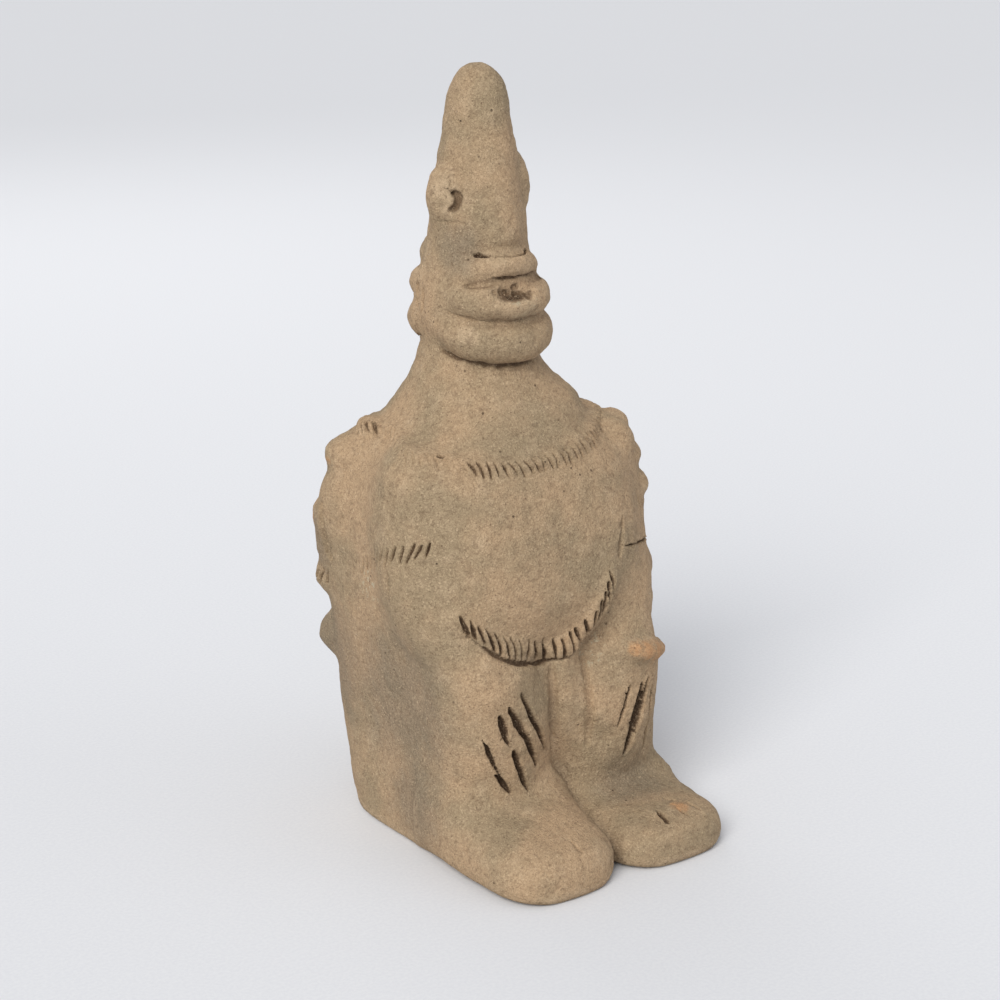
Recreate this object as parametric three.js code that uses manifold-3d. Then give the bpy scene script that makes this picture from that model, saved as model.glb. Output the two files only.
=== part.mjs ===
// A seated funerary figure of fired clay with two faces, one to the front and one to the back of the
// same conical head. It is solid and in one piece, and it stands on its own flat underside.
//
// Millimetres, +Z up. The front figure faces -Y, and its right hand is on the -X side.
// Forms are laid out from the head's own axis, with f as the distance in front of that axis. The
// finished solid is then shifted, so that the origin is at the middle of its box, on the ground.

import * as THREE from "three";
import { mergeVertices } from "three/addons/utils/BufferGeometryUtils.js";
import Module from "manifold-3d";

const wasm = await Module();
wasm.setup();
const { Manifold, Mesh: SolidMesh } = wasm;

// Driving dimensions
const HEIGHT = 300;
const TOE_REACH = 99; // from the head's axis to the front of the toes
const BACK_REACH = 58; // from the head's axis to the back of the rear belly
const CONE_BASE_RADIUS = 21; // the head at the height of the mouth
const TRUNK_HALF_WIDTH = 50;
const LEFT_ARM_SPREAD = 4; // the left arm stands out this much more than the right one
const LEFT_LEG_WIDENING = 2.6; // the left leg is this much wider than the right one, on its outside
const FLANK_SQUARENESS = 3.2; // exponent of the trunk's section: 2 is an ellipse
const COLLAR_HEIGHT = 153.5; // of the notched collar, where it dips in front
const COLLAR_RISE = 8.5; // from there to the shoulders
const COLLAR_TURN = -0.2; // radians from the front to its lowest point, towards the right hand
const COLLAR_NOTCHES = 36;
const BELT_LOW = 81; // the lowest point of the notched belt
const BELT_RIGHT_RISE = 17; // from there to its end under the right arm
const BELT_LEFT_RISE = 24;
const BELT_HALF_SPAN = 31.5;
const BELT_SHIFT = -11; // the belt hangs to the right hand's side
const BELT_NOTCHES = 15;
const NOTCH_LENGTH = 9;
const NOTCH_WIDTH = 2.2;
const NOTCH_DEPTH = 1.6;
const ARMLET_NOTCHES = 8;
const SLOT_WIDTH = 3.6; // of the cuts between the fingers
const SLOT_DEPTH = 3.2;
const TOE_CUT_LENGTH = 9;

// How finely the round forms are divided
const SIDES = { trunk: 26, head: 18, leg: 14, limb: 9, roll: 6, cut: 4 };

const FRONT = 1;
const BACK = -1;
const RIGHT = -1;
const LEFT = 1;

const clay = new THREE.MeshStandardMaterial({
  name: "fired_clay",
  color: 0x96846c,
  roughness: 0.92,
  metalness: 0,
});

// A point of one of the two figures: x to the side, f in front of the head's axis, z up. The rear
// figure is the same layout turned half round the axis.
function place(face, x, f, z) {
  return new THREE.Vector3(face * x, -face * f, z);
}

// Closes a stack of rings with a pole at each end and turns its faces outwards.
function skin(rings, firstPole, lastPole) {
  const sides = rings[0].length;
  const vertices = [firstPole, ...rings.flat(), lastPole];
  const last = vertices.length - 1;
  const at = (ring, side) => 1 + ring * sides + (side % sides);
  const faces = [];
  for (let side = 0; side < sides; side++) {
    faces.push([0, at(0, side + 1), at(0, side)]);
    for (let ring = 0; ring + 1 < rings.length; ring++) {
      const [a, b] = [at(ring, side), at(ring, side + 1)];
      const [c, d] = [at(ring + 1, side), at(ring + 1, side + 1)];
      faces.push([a, b, d], [a, d, c]);
    }
    faces.push([last, at(rings.length - 1, side), at(rings.length - 1, side + 1)]);
  }
  if (signedVolume(vertices, faces) < 0) faces.forEach((face) => face.reverse());
  const geometry = new THREE.BufferGeometry().setFromPoints(vertices);
  geometry.setIndex(faces.flat());
  return geometry;
}

function signedVolume(vertices, faces) {
  const cross = new THREE.Vector3();
  let sum = 0;
  for (const [a, b, c] of faces) {
    cross.crossVectors(vertices[b], vertices[c]);
    sum += vertices[a].dot(cross) / 6;
  }
  return sum;
}

// A geometry as a solid that can be joined and cut.
function solid(geometry) {
  const bare = geometry.clone();
  bare.deleteAttribute("normal");
  bare.deleteAttribute("uv");
  const merged = mergeVertices(bare, 1e-4);
  const vertProperties = new Float32Array(merged.attributes.position.array);
  const triVerts = new Uint32Array(merged.index.array);
  return new Manifold(new SolidMesh({ numProp: 3, vertProperties, triVerts }));
}

function geometryOf(made) {
  const { vertProperties, triVerts } = made.getMesh();
  const geometry = new THREE.BufferGeometry();
  geometry.setAttribute("position", new THREE.BufferAttribute(new Float32Array(vertProperties), 3));
  geometry.setIndex(new THREE.BufferAttribute(new Uint32Array(triVerts), 1));
  return geometry;
}

function joined(geometries) {
  return geometries.map(solid).reduce((whole, form) => whole.add(form));
}

// A point of a superellipse with different depths in front and behind.
function sectionPoint(angle, halfWidth, front, back, squareness) {
  const power = 2 / squareness;
  const [c, s] = [Math.cos(angle), Math.sin(angle)];
  const depth = s < 0 ? front : back;
  return [
    Math.sign(c) * halfWidth * Math.abs(c) ** power,
    Math.sign(s) * depth * Math.abs(s) ** power,
  ];
}

// A form of level sections, each row with its height, half width, depth in front, depth behind and
// squareness.
function levelForm(rows, sides) {
  const rings = rows.map(({ z, halfWidth, front, back, squareness }) =>
    Array.from({ length: sides }, (_, side) => {
      const angle = (2 * Math.PI * side) / sides;
      const [x, y] = sectionPoint(angle, halfWidth, front, back, squareness);
      return new THREE.Vector3(x, y, z);
    }),
  );
  const [first, last] = [rows[0], rows[rows.length - 1]];
  return skin(rings, new THREE.Vector3(0, 0, first.z), new THREE.Vector3(0, 0, last.z));
}

// A limb or roll of clay with round ends: a round section that follows a smooth curve through the
// stations, each [point, radius].
function limb(stations, sides = SIDES.limb, stepsEach = 2) {
  const curve = new THREE.CatmullRomCurve3(stations.map(([point]) => point));
  const steps = stepsEach * (stations.length - 1);
  const { normals, binormals, tangents } = curve.computeFrenetFrames(steps);
  const ringAt = (step, along, radius) => {
    const centre = curve.getPoint(step / steps).addScaledVector(tangents[step], along);
    return Array.from({ length: sides }, (_, side) => {
      const angle = (2 * Math.PI * side) / sides;
      return centre
        .clone()
        .addScaledVector(normals[step], radius * Math.cos(angle))
        .addScaledVector(binormals[step], radius * Math.sin(angle));
    });
  };
  const radiusAt = (step) => {
    const along = (step / steps) * (stations.length - 1);
    const index = Math.min(Math.floor(along), stations.length - 2);
    return THREE.MathUtils.lerp(stations[index][1], stations[index + 1][1], along - index);
  };
  const rings = [];
  const capTurns = [0.5, 1.05];
  for (const turn of capTurns)
    rings.push(ringAt(0, -radiusAt(0) * Math.cos(turn), radiusAt(0) * Math.sin(turn)));
  for (let step = 0; step <= steps; step++) rings.push(ringAt(step, 0, radiusAt(step)));
  for (const turn of [...capTurns].reverse()) {
    const radius = radiusAt(steps);
    rings.push(ringAt(steps, radius * Math.cos(turn), radius * Math.sin(turn)));
  }
  const firstPole = curve.getPoint(0).addScaledVector(tangents[0], -radiusAt(0));
  const lastPole = curve.getPoint(1).addScaledVector(tangents[steps], radiusAt(steps));
  return skin(rings, firstPole, lastPole);
}

function pellet(centre, [rx, ry, rz], sides = SIDES.limb) {
  const ball = new THREE.SphereGeometry(1, sides, Math.ceil(sides / 2));
  return ball.rotateX(Math.PI / 2).scale(rx, ry, rz).translate(centre.x, centre.y, centre.z);
}

// The shared forms

// The trunk from its flat underside to the neck, with the rear figure's back swelling more than
// the front does at the same height, because the front carries the legs.
function trunk() {
  const row = (z, widthShare, front, back, squareness = FLANK_SQUARENESS) => ({
    z,
    halfWidth: widthShare * TRUNK_HALF_WIDTH,
    front,
    back,
    squareness,
  });
  return levelForm(
    [
      row(0, 0.94, 46, 36),
      row(2.5, 0.98, 49, 41),
      row(8, 1.0, 50, 45),
      row(20, 1.0, 50, 49),
      row(42, 1.01, 50, 52),
      row(62, 1.03, 51, 53),
      row(80, 1.06, 52, 54),
      row(88, 1.08, 56.5, 54),
      row(104, 1.1, 59.5, BACK_REACH - 4),
      row(122, 1.1, 57.5, 53),
      row(138, 1.06, 53, 50),
      row(148, 1.0, 49, 46),
      row(155, 0.94, 44.5, 41, 2.8),
      row(161, 0.82, 40.5, 36, 2.5),
      row(167, 0.71, 36.5, 32, 2.3),
      row(173, 0.63, 33, 29.5, 2.1),
      row(180, 0.57, 29, 26, 2),
      row(188, 0.5, 25, 23, 2),
    ],
    SIDES.trunk,
  );
}

// The cone of the head, from inside the neck to its rounded tip.
function headCone() {
  const profile = [
    [0.54, 1.04],
    [0.635, 1.03],
    [0.7, 1.0],
    [0.775, 0.94],
    [0.813, 0.88],
    [0.85, 0.79],
    [0.89, 0.71],
    [0.907, 0.66],
    [0.93, 0.61],
    [0.95, 0.575],
    [0.966, 0.52],
    [0.98, 0.45],
    [0.99, 0.33],
    [0.997, 0.17],
  ];
  const rows = profile.map(([heightShare, radiusShare]) => {
    const radius = radiusShare * CONE_BASE_RADIUS;
    return { z: heightShare * HEIGHT, halfWidth: radius, front: radius, back: radius, squareness: 2 };
  });
  const tip = { ...rows[rows.length - 1], z: HEIGHT };
  tip.halfWidth = tip.front = tip.back = 0.04 * CONE_BASE_RADIUS;
  return levelForm([...rows, tip], SIDES.head);
}

// One ear on each side of the head, shared by the two faces.
function ears() {
  const height = 0.838 * HEIGHT;
  const out = 0.8 * CONE_BASE_RADIUS;
  return [RIGHT, LEFT].map((side) => pellet(new THREE.Vector3(side * out, 0, height), [6, 7.5, 11.5]));
}

// The forms of each figure

// A roll of clay round the muzzle, an arc about the head's axis. It dips or rises from its middle
// to its ends, and tapers there.
function muzzleRoll(face, { reach, endReach, thickness, height, endHeight, halfTurn }) {
  const stations = [-1, -0.72, -0.38, 0, 0.38, 0.72, 1].map((share) => {
    const turn = share * halfTurn;
    const blend = share * share;
    const radius = THREE.MathUtils.lerp(reach, endReach, blend) - thickness;
    const z = THREE.MathUtils.lerp(height, endHeight, blend);
    const body = thickness * (1 - 0.35 * blend * blend);
    return [place(face, radius * Math.sin(turn), radius * Math.cos(turn), z), body];
  });
  return limb(stations, SIDES.roll + 2, 1);
}

// The rear face is smaller than the front one, and sits a little higher.
const FACES = {
  [FRONT]: { lift: 0, share: 1 },
  [BACK]: { lift: 3, share: 0.93 },
};

function face(side) {
  const { lift, share } = FACES[side];
  const nose = limb(
    [
      [place(side, 0, 6, 287), 5],
      [place(side, 0, 10, 262 + lift), 6.2],
      [place(side, 0, 14.5 * share, 238 + lift), 7.2],
    ],
    SIDES.limb,
    1,
  );
  const roll = (reach, endReach, thickness, height, endHeight, halfTurn) =>
    muzzleRoll(side, {
      reach: reach * share,
      endReach: endReach * share,
      thickness,
      height: height + lift,
      endHeight: endHeight + lift,
      halfTurn,
    });
  const upperLip = roll(26, 22, 5, 225, 222.5, 0.98);
  const lowerLip = roll(30.5, 27, 6, 211, 215.5, 1.08);
  const chin = roll(31, 27, 9, 197.5, 202, 1.35);
  const muzzleRadius = 23.5 * share;
  const muzzle = pellet(place(side, 0, 3, 208 + lift), [muzzleRadius, muzzleRadius, 24], SIDES.leg);
  return [nose, muzzle, upperLip, lowerLip, chin];
}

function armSpread(side) {
  return side === LEFT ? LEFT_ARM_SPREAD : 0;
}

function frontArm(side) {
  const upper = side * (39 + armSpread(side));
  return limb([
    [place(FRONT, upper, 18, 143), 18],
    [place(FRONT, upper + side * 1.5, 20, 126), 18.5],
    [place(FRONT, side * 41, 26, 107), 19.5],
    [place(FRONT, side * 38, 37, 90), 18.5],
    [place(FRONT, side * 33, 44, 76), 15.5],
  ]);
}

// The left shoulder has a knob beside the collar, with smaller lumps of clay outside and below it.
function leftShoulder() {
  return [
    pellet(place(FRONT, 43 + LEFT_ARM_SPREAD, 27, 152), [9, 10, 9]),
    pellet(place(FRONT, 49 + LEFT_ARM_SPREAD, 21, 157), [6, 8, 4.5]),
    pellet(place(FRONT, 53 + LEFT_ARM_SPREAD, 17, 141), [6, 9, 6]),
  ];
}

function rearArm(side) {
  return limb([
    [place(BACK, side * 38, 20, 145), 14.5],
    [place(BACK, side * 42, 25, 124), 16],
    [place(BACK, side * 38, 34, 106), 14.5],
    [place(BACK, side * 30, 41, 97), 12],
  ]);
}

// Half of what a leg is wider by: its middle moves out by as much, so that its inside stays.
function legWidening(side) {
  return side === LEFT ? LEFT_LEG_WIDENING / 2 : 0;
}

// The front figure sits with its shins upright before it. Each leg is a squarish column.
function shin(side) {
  const widening = legWidening(side);
  const centre = place(FRONT, side * (25.4 + widening), 37, 0);
  const row = (z, width, front, back = 22) => ({
    z,
    halfWidth: width + widening,
    front,
    back,
    squareness: 3,
  });
  const column = levelForm(
    [
      row(0, 23.5, 20),
      row(4, 24.5, 22),
      row(20, 24.8, 23),
      row(44, 24.8, 23),
      row(62, 25, 22),
      row(76, 23.5, 17),
      row(86, 16, 8, 18),
    ],
    SIDES.leg,
  );
  return column.translate(centre.x, centre.y, centre.z);
}

// A foot is a loaf that runs forward from the shin. Its sections stand across it.
function foot(side) {
  const middle = side * (26 + legWidening(side));
  const section = ([f, halfWidth, top]) =>
    Array.from({ length: SIDES.leg }, (_, index) => {
      const angle = (2 * Math.PI * index) / SIDES.leg;
      const low = 0.36 * top;
      const squareness = angle > Math.PI ? 4.5 : 2.7;
      const width = halfWidth + legWidening(side);
      const [across, up] = sectionPoint(angle, width, low, top - low, squareness);
      return place(FRONT, middle + across, f, low + up);
    });
  const rows = [
    [30, 26, 38],
    [55, 26.5, 36],
    [61, 26.5, 29.5],
    [68, 26.3, 25],
    [80, 26, 21.5],
    [89, 25, 19],
    [95, 21.5, 16.5],
    [TOE_REACH - 0.5, 14, 12],
  ];
  return skin(rows.map(section), place(FRONT, middle, 30, 18), place(FRONT, middle, TOE_REACH, 6));
}

// The hand lies down the front of the shin, below a bracelet.
function hand(side) {
  const palm = [
    [place(FRONT, side * 34, 46, 72), 15],
    [place(FRONT, side * 32, 47, 54), 15.5],
    [place(FRONT, side * 28, 50, 36), 12],
  ];
  const thumb = [
    [place(FRONT, side * 27, 49, 70), 11],
    [place(FRONT, side * 19, 51, 52), 10],
  ];
  const bracelet = [
    [place(FRONT, side * (47 + armSpread(side)), 48, 70.5), 4.5],
    [place(FRONT, side * 40, 57, 73.5), 5],
    [place(FRONT, side * 30, 58.5, 77), 5],
    [place(FRONT, side * 21, 54.5, 80), 4.5],
  ];
  return [limb(palm), limb(thumb), limb(bracelet, SIDES.roll)];
}

// The flap of the belt, which hangs between the shins.
function flap() {
  return limb(
    [
      [place(FRONT, 1, 53, 78), 5.5],
      [place(FRONT, 1, 54.5, 56), 5.2],
      [place(FRONT, 1, 55, 36), 4.6],
    ],
    SIDES.roll,
  );
}

// The rear figure has a belly and small knees, and is plain below them.
function rearBody() {
  const knobs = [RIGHT, LEFT].map((side) => pellet(place(BACK, side * 47, 25, 150), [7.5, 7.5, 8]));
  const knees = [RIGHT, LEFT].map((side) => pellet(place(BACK, side * 36, 41, 67), [14, 14, 13]));
  return [pellet(place(BACK, 0, 23, 104), [34, BACK_REACH - 23, 27], SIDES.leg), ...knees, ...knobs];
}

// Paths on the surface

// Where a straight look from outside first meets the body.
function surfaceFinder(body) {
  const mesh = new THREE.Mesh(geometryOf(body), new THREE.MeshBasicMaterial({ side: THREE.DoubleSide }));
  const caster = new THREE.Raycaster();
  return (from, towards) => {
    caster.set(from, towards.clone().sub(from).normalize());
    const [hit] = caster.intersectObject(mesh);
    return { point: hit.point, normal: hit.face.normal };
  };
}

const OUTSIDE = 200;

// The surface at a turn about the head's axis, from the front towards the left hand, and a height.
function fromRound(find, turn, z) {
  const out = place(FRONT, OUTSIDE * Math.sin(turn), OUTSIDE * Math.cos(turn), z);
  return find(out, new THREE.Vector3(0, 0, z));
}

function fromFace(find, side, x, z) {
  return find(place(side, x, OUTSIDE, z), place(side, x, 0, z));
}

function fromFlank(find, side, f, z) {
  return find(place(FRONT, side * OUTSIDE, f, z), place(FRONT, 0, f, z));
}

// The collar's height at a turn about the axis: low at the two faces and high at the shoulders.
function collarHeight(turn) {
  return COLLAR_HEIGHT + COLLAR_RISE * Math.sin(turn - COLLAR_TURN) ** 2;
}

function collarRidge(find) {
  const count = 24;
  const points = Array.from({ length: count }, (_, index) => {
    const turn = (2 * Math.PI * index) / count;
    const { point, normal } = fromRound(find, turn, collarHeight(turn));
    return point.addScaledVector(normal, -1.4);
  });
  const half = count / 2;
  const arc = (start) => Array.from({ length: half + 1 }, (_, step) => points[(start + step) % count]);
  return [arc(0), arc(half)].map((run) => limb(run.map((point) => [point, 3.2]), SIDES.roll, 1));
}

// A spot on the belt, a sagging line that the belly rests on. The share runs from -1 to 1 along it.
function onBelt(find, share) {
  const rise = share < 0 ? BELT_RIGHT_RISE : BELT_LEFT_RISE;
  const height = BELT_LOW + rise * Math.abs(share) ** 2.5;
  return fromFace(find, FRONT, BELT_SHIFT + BELT_HALF_SPAN * share, height);
}

function beltRidge(find) {
  const count = 11;
  const stations = Array.from({ length: count }, (_, index) => {
    const { point, normal } = onBelt(find, -1 + (2 * index) / (count - 1));
    return [point.addScaledVector(normal, -2), 4];
  });
  return limb(stations, SIDES.roll, 1);
}

// Cuts

// A stroke of a pointed tool: a slim diamond laid along the surface, half sunk in it.
function notch({ point, normal }, along, length, width, depth) {
  const stroke = new THREE.OctahedronGeometry(1).scale(width / 2, length / 2, depth);
  const lengthwise = along.clone().addScaledVector(normal, -along.dot(normal)).normalize();
  const across = new THREE.Vector3().crossVectors(lengthwise, normal);
  const turn = new THREE.Matrix4().makeBasis(across, lengthwise, normal).setPosition(point);
  return stroke.applyMatrix4(turn);
}

function collarNotches(find) {
  return Array.from({ length: COLLAR_NOTCHES }, (_, index) => {
    const turn = (2 * Math.PI * (index + 0.5)) / COLLAR_NOTCHES;
    const spot = fromRound(find, turn, collarHeight(turn));
    const lean = place(FRONT, Math.cos(turn), -Math.sin(turn), 0).multiplyScalar(0.25);
    const upright = new THREE.Vector3(0, 0, 1).add(lean);
    return notch(spot, upright, NOTCH_LENGTH, NOTCH_WIDTH, NOTCH_DEPTH);
  });
}

function beltNotches(find) {
  return Array.from({ length: BELT_NOTCHES }, (_, index) => {
    const share = -1 + (2 * (index + 0.5)) / BELT_NOTCHES;
    const upright = new THREE.Vector3(share, 0, 1);
    return notch(onBelt(find, share), upright, NOTCH_LENGTH * 0.85, NOTCH_WIDTH, NOTCH_DEPTH);
  });
}

// A row of notches across the outside of each upper arm, just above the elbow.
function armletNotches(find) {
  const [rear, front] = [-3, 35];
  return [RIGHT, LEFT].flatMap((side) =>
    Array.from({ length: ARMLET_NOTCHES }, (_, index) => {
      const share = index / (ARMLET_NOTCHES - 1);
      const spot = fromFlank(find, side, THREE.MathUtils.lerp(rear, front, share), 114 + 9 * share);
      return notch(spot, new THREE.Vector3(0, -0.2, 1), NOTCH_LENGTH * 0.8, NOTCH_WIDTH, NOTCH_DEPTH);
    }),
  );
}

// A long cut in a figure's front, from its top to its bottom, each [x, z].
function slot(find, side, top, bottom, width, depth) {
  const middle = fromFace(find, side, (top[0] + bottom[0]) / 2, (top[1] + bottom[1]) / 2);
  const along = place(side, top[0] - bottom[0], 0, top[1] - bottom[1]);
  return notch(middle, along, along.length(), width, depth);
}

function fingerSlots(find) {
  const front = [
    { top: [23, 67], bottom: [12, 38] },
    { top: [29, 64], bottom: [17, 34] },
    { top: [35, 60], bottom: [23, 31] },
    { top: [42, 55], bottom: [31, 33] },
  ];
  const rear = [22, 27, 32].map((x) => ({ top: [x, 103], bottom: [x - 4, 88] }));
  const cut = (side, hand, { top, bottom }) =>
    slot(find, side, [hand * top[0], top[1]], [hand * bottom[0], bottom[1]], SLOT_WIDTH, SLOT_DEPTH);
  return [RIGHT, LEFT].flatMap((hand) => [
    ...front.map((place) => cut(FRONT, hand, place)),
    ...rear.map((place) => cut(BACK, hand, place)),
  ]);
}

// The groove on each side of the flap.
function flapGrooves(find) {
  return [-5.6, 7.6].map((x) => slot(find, FRONT, [x, 72], [x, 36], 3.4, 1.8));
}

// Three short cuts part the toes of each foot.
function toeCuts(find) {
  return [RIGHT, LEFT].flatMap((side) =>
    [15, 26, 36].map((x) => {
      const spot = find(place(FRONT, side * x, 90, OUTSIDE), place(FRONT, side * x, 90, 0));
      return notch(spot, place(FRONT, 0, 1, 0), TOE_CUT_LENGTH, 2, 1.6);
    }),
  );
}

// The open mouth between the lips and the slit under the nose.
function faceCuts(side) {
  const { lift, share } = FACES[side];
  const arc = (reach, halfTurn, height, radius) => {
    const stations = [-1, -0.5, 0, 0.5, 1].map((part) => {
      const turn = part * halfTurn;
      const out = reach * share;
      return [place(side, out * Math.sin(turn), out * Math.cos(turn), height + lift), radius];
    });
    return limb(stations, SIDES.cut, 2);
  };
  return [arc(24.6, 0.86, 219, 2.1), arc(22.6, 0.42, 230.6, 1.1)];
}

function figure() {
  let body = joined([
    trunk(),
    headCone(),
    ...ears(),
    ...face(FRONT),
    ...face(BACK),
    flap(),
    ...rearBody(),
    ...[RIGHT, LEFT].flatMap((side) => [
      frontArm(side),
      rearArm(side),
      shin(side),
      foot(side),
      ...hand(side),
    ]),
  ]);
  const bare = surfaceFinder(body);
  body = body.add(joined([...collarRidge(bare), beltRidge(bare)]));
  const find = surfaceFinder(body);
  const cuts = [
    ...collarNotches(find),
    ...beltNotches(find),
    ...armletNotches(find),
    ...fingerSlots(find),
    ...flapGrooves(find),
    ...toeCuts(find),
    ...faceCuts(FRONT),
    ...faceCuts(BACK),
  ];
  return largestBody(body.subtract(joined(cuts)).add(joined(leftShoulder())));
}

// A cut that runs out along a rounded edge can leave a loose flake, which falls away.
function largestBody(made) {
  return made.decompose().reduce((most, body) => (body.volume() > most.volume() ? body : most));
}

const mesh = new THREE.Mesh(geometryOf(figure()), clay);
mesh.name = "figure";

// The origin goes to the middle of the box, on the ground.
const middle = new THREE.Box3().setFromObject(mesh).getCenter(new THREE.Vector3());
mesh.position.set(-middle.x, -middle.y, 0);

const part = new THREE.Group();
part.add(mesh);

export default part;
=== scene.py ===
"""A seated funerary figure of fired clay with two faces, standing in a plain studio.

The figure is built up as a modeller builds it: balls, rolls and slabs of clay are joined and their
seams smoothed, then a pointed tool draws rows of strokes, slots and slits into the surface. Forms are
laid out in millimetres from the head's own axis, with f as the distance in front of that axis, and
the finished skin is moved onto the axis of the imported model, in metres.
"""

import logging
import math
from collections.abc import Iterable, Mapping, Sequence
from dataclasses import dataclass, field
from enum import Enum
from typing import Any

import bmesh
import bpy
import numpy as np
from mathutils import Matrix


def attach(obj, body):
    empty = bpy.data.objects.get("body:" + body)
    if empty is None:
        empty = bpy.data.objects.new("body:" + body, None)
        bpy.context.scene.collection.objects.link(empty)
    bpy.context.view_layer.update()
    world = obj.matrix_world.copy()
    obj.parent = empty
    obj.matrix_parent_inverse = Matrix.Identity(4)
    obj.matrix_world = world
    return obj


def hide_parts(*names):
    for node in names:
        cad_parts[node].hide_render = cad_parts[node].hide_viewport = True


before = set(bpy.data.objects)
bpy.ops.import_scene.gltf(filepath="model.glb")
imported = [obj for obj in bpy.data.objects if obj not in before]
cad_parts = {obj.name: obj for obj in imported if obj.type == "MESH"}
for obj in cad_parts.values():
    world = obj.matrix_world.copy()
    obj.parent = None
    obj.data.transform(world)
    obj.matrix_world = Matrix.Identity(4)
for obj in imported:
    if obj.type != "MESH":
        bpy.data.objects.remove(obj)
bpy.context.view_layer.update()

import openvdb
from mathutils import Vector

logging.basicConfig(level=logging.INFO, format="%(message)s")
log = logging.getLogger("figure")

MM = 0.001
FAR = 14.0
TINY = 1e-9
HASH = (127.1, 311.7, 74.7)
HASH_SEED = 17.3
HASH_SCALE = 4375.85

# Where the looks that find the clay's surface start, in millimetres from the axis or the ground.
OUTSIDE = 130.0
ABOVE_FEET = 60.0
ROUND_HEAD = 70.0
ROUND_COLLAR = 110.0

Point = tuple[float, float, float]
Span = tuple[float, float]
Array = np.ndarray


class Facing(Enum):
    """The two figures, back to back."""

    FRONT = 1
    BACK = -1


class Hand(Enum):
    """The sides of the front figure."""

    RIGHT = -1
    LEFT = 1


def place(facing: Facing, x: float, f: float, z: float) -> Point:
    """A point of one of the two figures: x to the side, f in front of the axis, z up."""
    return (facing.value * x, -facing.value * f, z)


def smooth_join(first: Array, second: Array, blend: float) -> Array:
    """The distance to two forms joined, with the seam between them filled.

    Args:
        first: Distances to one form.
        second: Distances to the other form.
        blend: How far the fillet of the seam reaches.

    Returns:
        The distances to the joined form.
    """
    near = np.maximum(blend - np.abs(first - second), 0.0) / blend
    return np.minimum(first, second) - near * near * blend * 0.25


def smooth_cut(body: Array, cutter: Array, blend: float) -> Array:
    """The distance to a body less a cutter, with the rim of the cut rounded."""
    return -smooth_join(-body, cutter, blend)


def eased(at: Array, values: Array, steps: int = 8) -> tuple[Array, Array]:
    """A smooth run through a table's rows that doesn't overshoot them.

    Args:
        at: The rows' places along the run, rising.
        values: One row of values for each place.
        steps: Places in the result for each span of the table.

    Returns:
        The finer places and their values.
    """
    span = np.diff(at)[:, None]
    rise = np.diff(values, axis=0) / span
    slope = np.zeros_like(values)
    slope[[0, -1]] = rise[[0, -1]]
    same = rise[:-1] * rise[1:] > 0
    total = np.where(same, rise[:-1] + rise[1:], 1.0)
    slope[1:-1] = np.where(same, 2 * rise[:-1] * rise[1:] / total, 0.0)
    share = (np.arange(steps) / steps)[None, :, None]
    ends = values[:-1, None], values[1:, None]
    pull = slope[:-1, None] * span[:, None], slope[1:, None] * span[:, None]
    run = (
        ends[0] * (2 * share**3 - 3 * share**2 + 1)
        + pull[0] * (share**3 - 2 * share**2 + share)
        + ends[1] * (3 * share**2 - 2 * share**3)
        + pull[1] * (share**3 - share**2)
    )
    places = at[:-1, None] + np.diff(at)[:, None] * share[0, :, 0]
    return np.append(places.ravel(), at[-1]), np.vstack([run.reshape(-1, values.shape[1]), values[-1:]])


class Form:
    """A closed clay form, known by its distance: negative inside, in millimetres."""

    def box(self) -> tuple[Array, Array]:
        """Lowest and highest corner of the form."""
        raise NotImplementedError

    def distance(self, points: Array) -> Array:
        """Distance from each point to the form's surface."""
        raise NotImplementedError

    def near(self, points: Array, margin: float) -> Array:
        """Which points lie in the form's box, grown by a margin."""
        low, high = self.box()
        return ((points > low - margin) & (points < high + margin)).all(axis=1)


@dataclass
class Ball(Form):
    """A pellet of clay with its own radius along each axis."""

    centre: Point
    radii: Point

    def box(self) -> tuple[Array, Array]:
        """Lowest and highest corner of the pellet."""
        return np.subtract(self.centre, self.radii), np.add(self.centre, self.radii)

    def distance(self, points: Array) -> Array:
        """Distance from each point to the pellet's surface."""
        away = (points - self.centre) / self.radii
        reach = np.linalg.norm(away, axis=1) + 1e-6
        return reach * (reach - 1.0) / (np.linalg.norm(away / self.radii, axis=1) + 1e-6)


@dataclass
class Roll(Form):
    """A roll of clay along a smooth curve through stations, each (x, y, z, radius)."""

    stations: Sequence[tuple[float, float, float, float]]
    closed: bool = False
    steps: int = 5
    path: Array = field(init=False)

    def __post_init__(self) -> None:
        """Works out the points of the curve."""
        knots = np.array(self.stations, float)
        if self.closed:
            knots = np.vstack([knots[-1:], knots, knots[:2]])
        else:
            knots = np.vstack([2 * knots[0] - knots[1], knots, 2 * knots[-1] - knots[-2]])
        share = (np.arange(self.steps) / self.steps)[:, None]
        spans = []
        for a, b, c, d in zip(knots, knots[1:], knots[2:], knots[3:]):
            cubic = (3 * b - a - 3 * c + d) * share**3 + (2 * a - 5 * b + 4 * c - d) * share**2
            spans.append(0.5 * (cubic + (c - a) * share + 2 * b))
        self.path = np.vstack([*spans, knots[-2:-1]])

    def box(self) -> tuple[Array, Array]:
        """Lowest and highest corner of the roll."""
        widest = self.path[:, 3].max()
        return self.path[:, :3].min(axis=0) - widest, self.path[:, :3].max(axis=0) + widest

    def distance(self, points: Array) -> Array:
        """Distance from each point to the roll's surface."""
        best = np.full(len(points), 1e3)
        for start, end in zip(self.path, self.path[1:]):
            run = end[:3] - start[:3]
            share = np.clip((points - start[:3]) @ run / (run @ run + TINY), 0.0, 1.0)
            gap = points - start[:3] - share[:, None] * run
            radius = start[3] + share * (end[3] - start[3])
            best = np.minimum(best, np.sqrt(np.einsum("ij,ij->i", gap, gap)) - radius)
        return best


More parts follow.
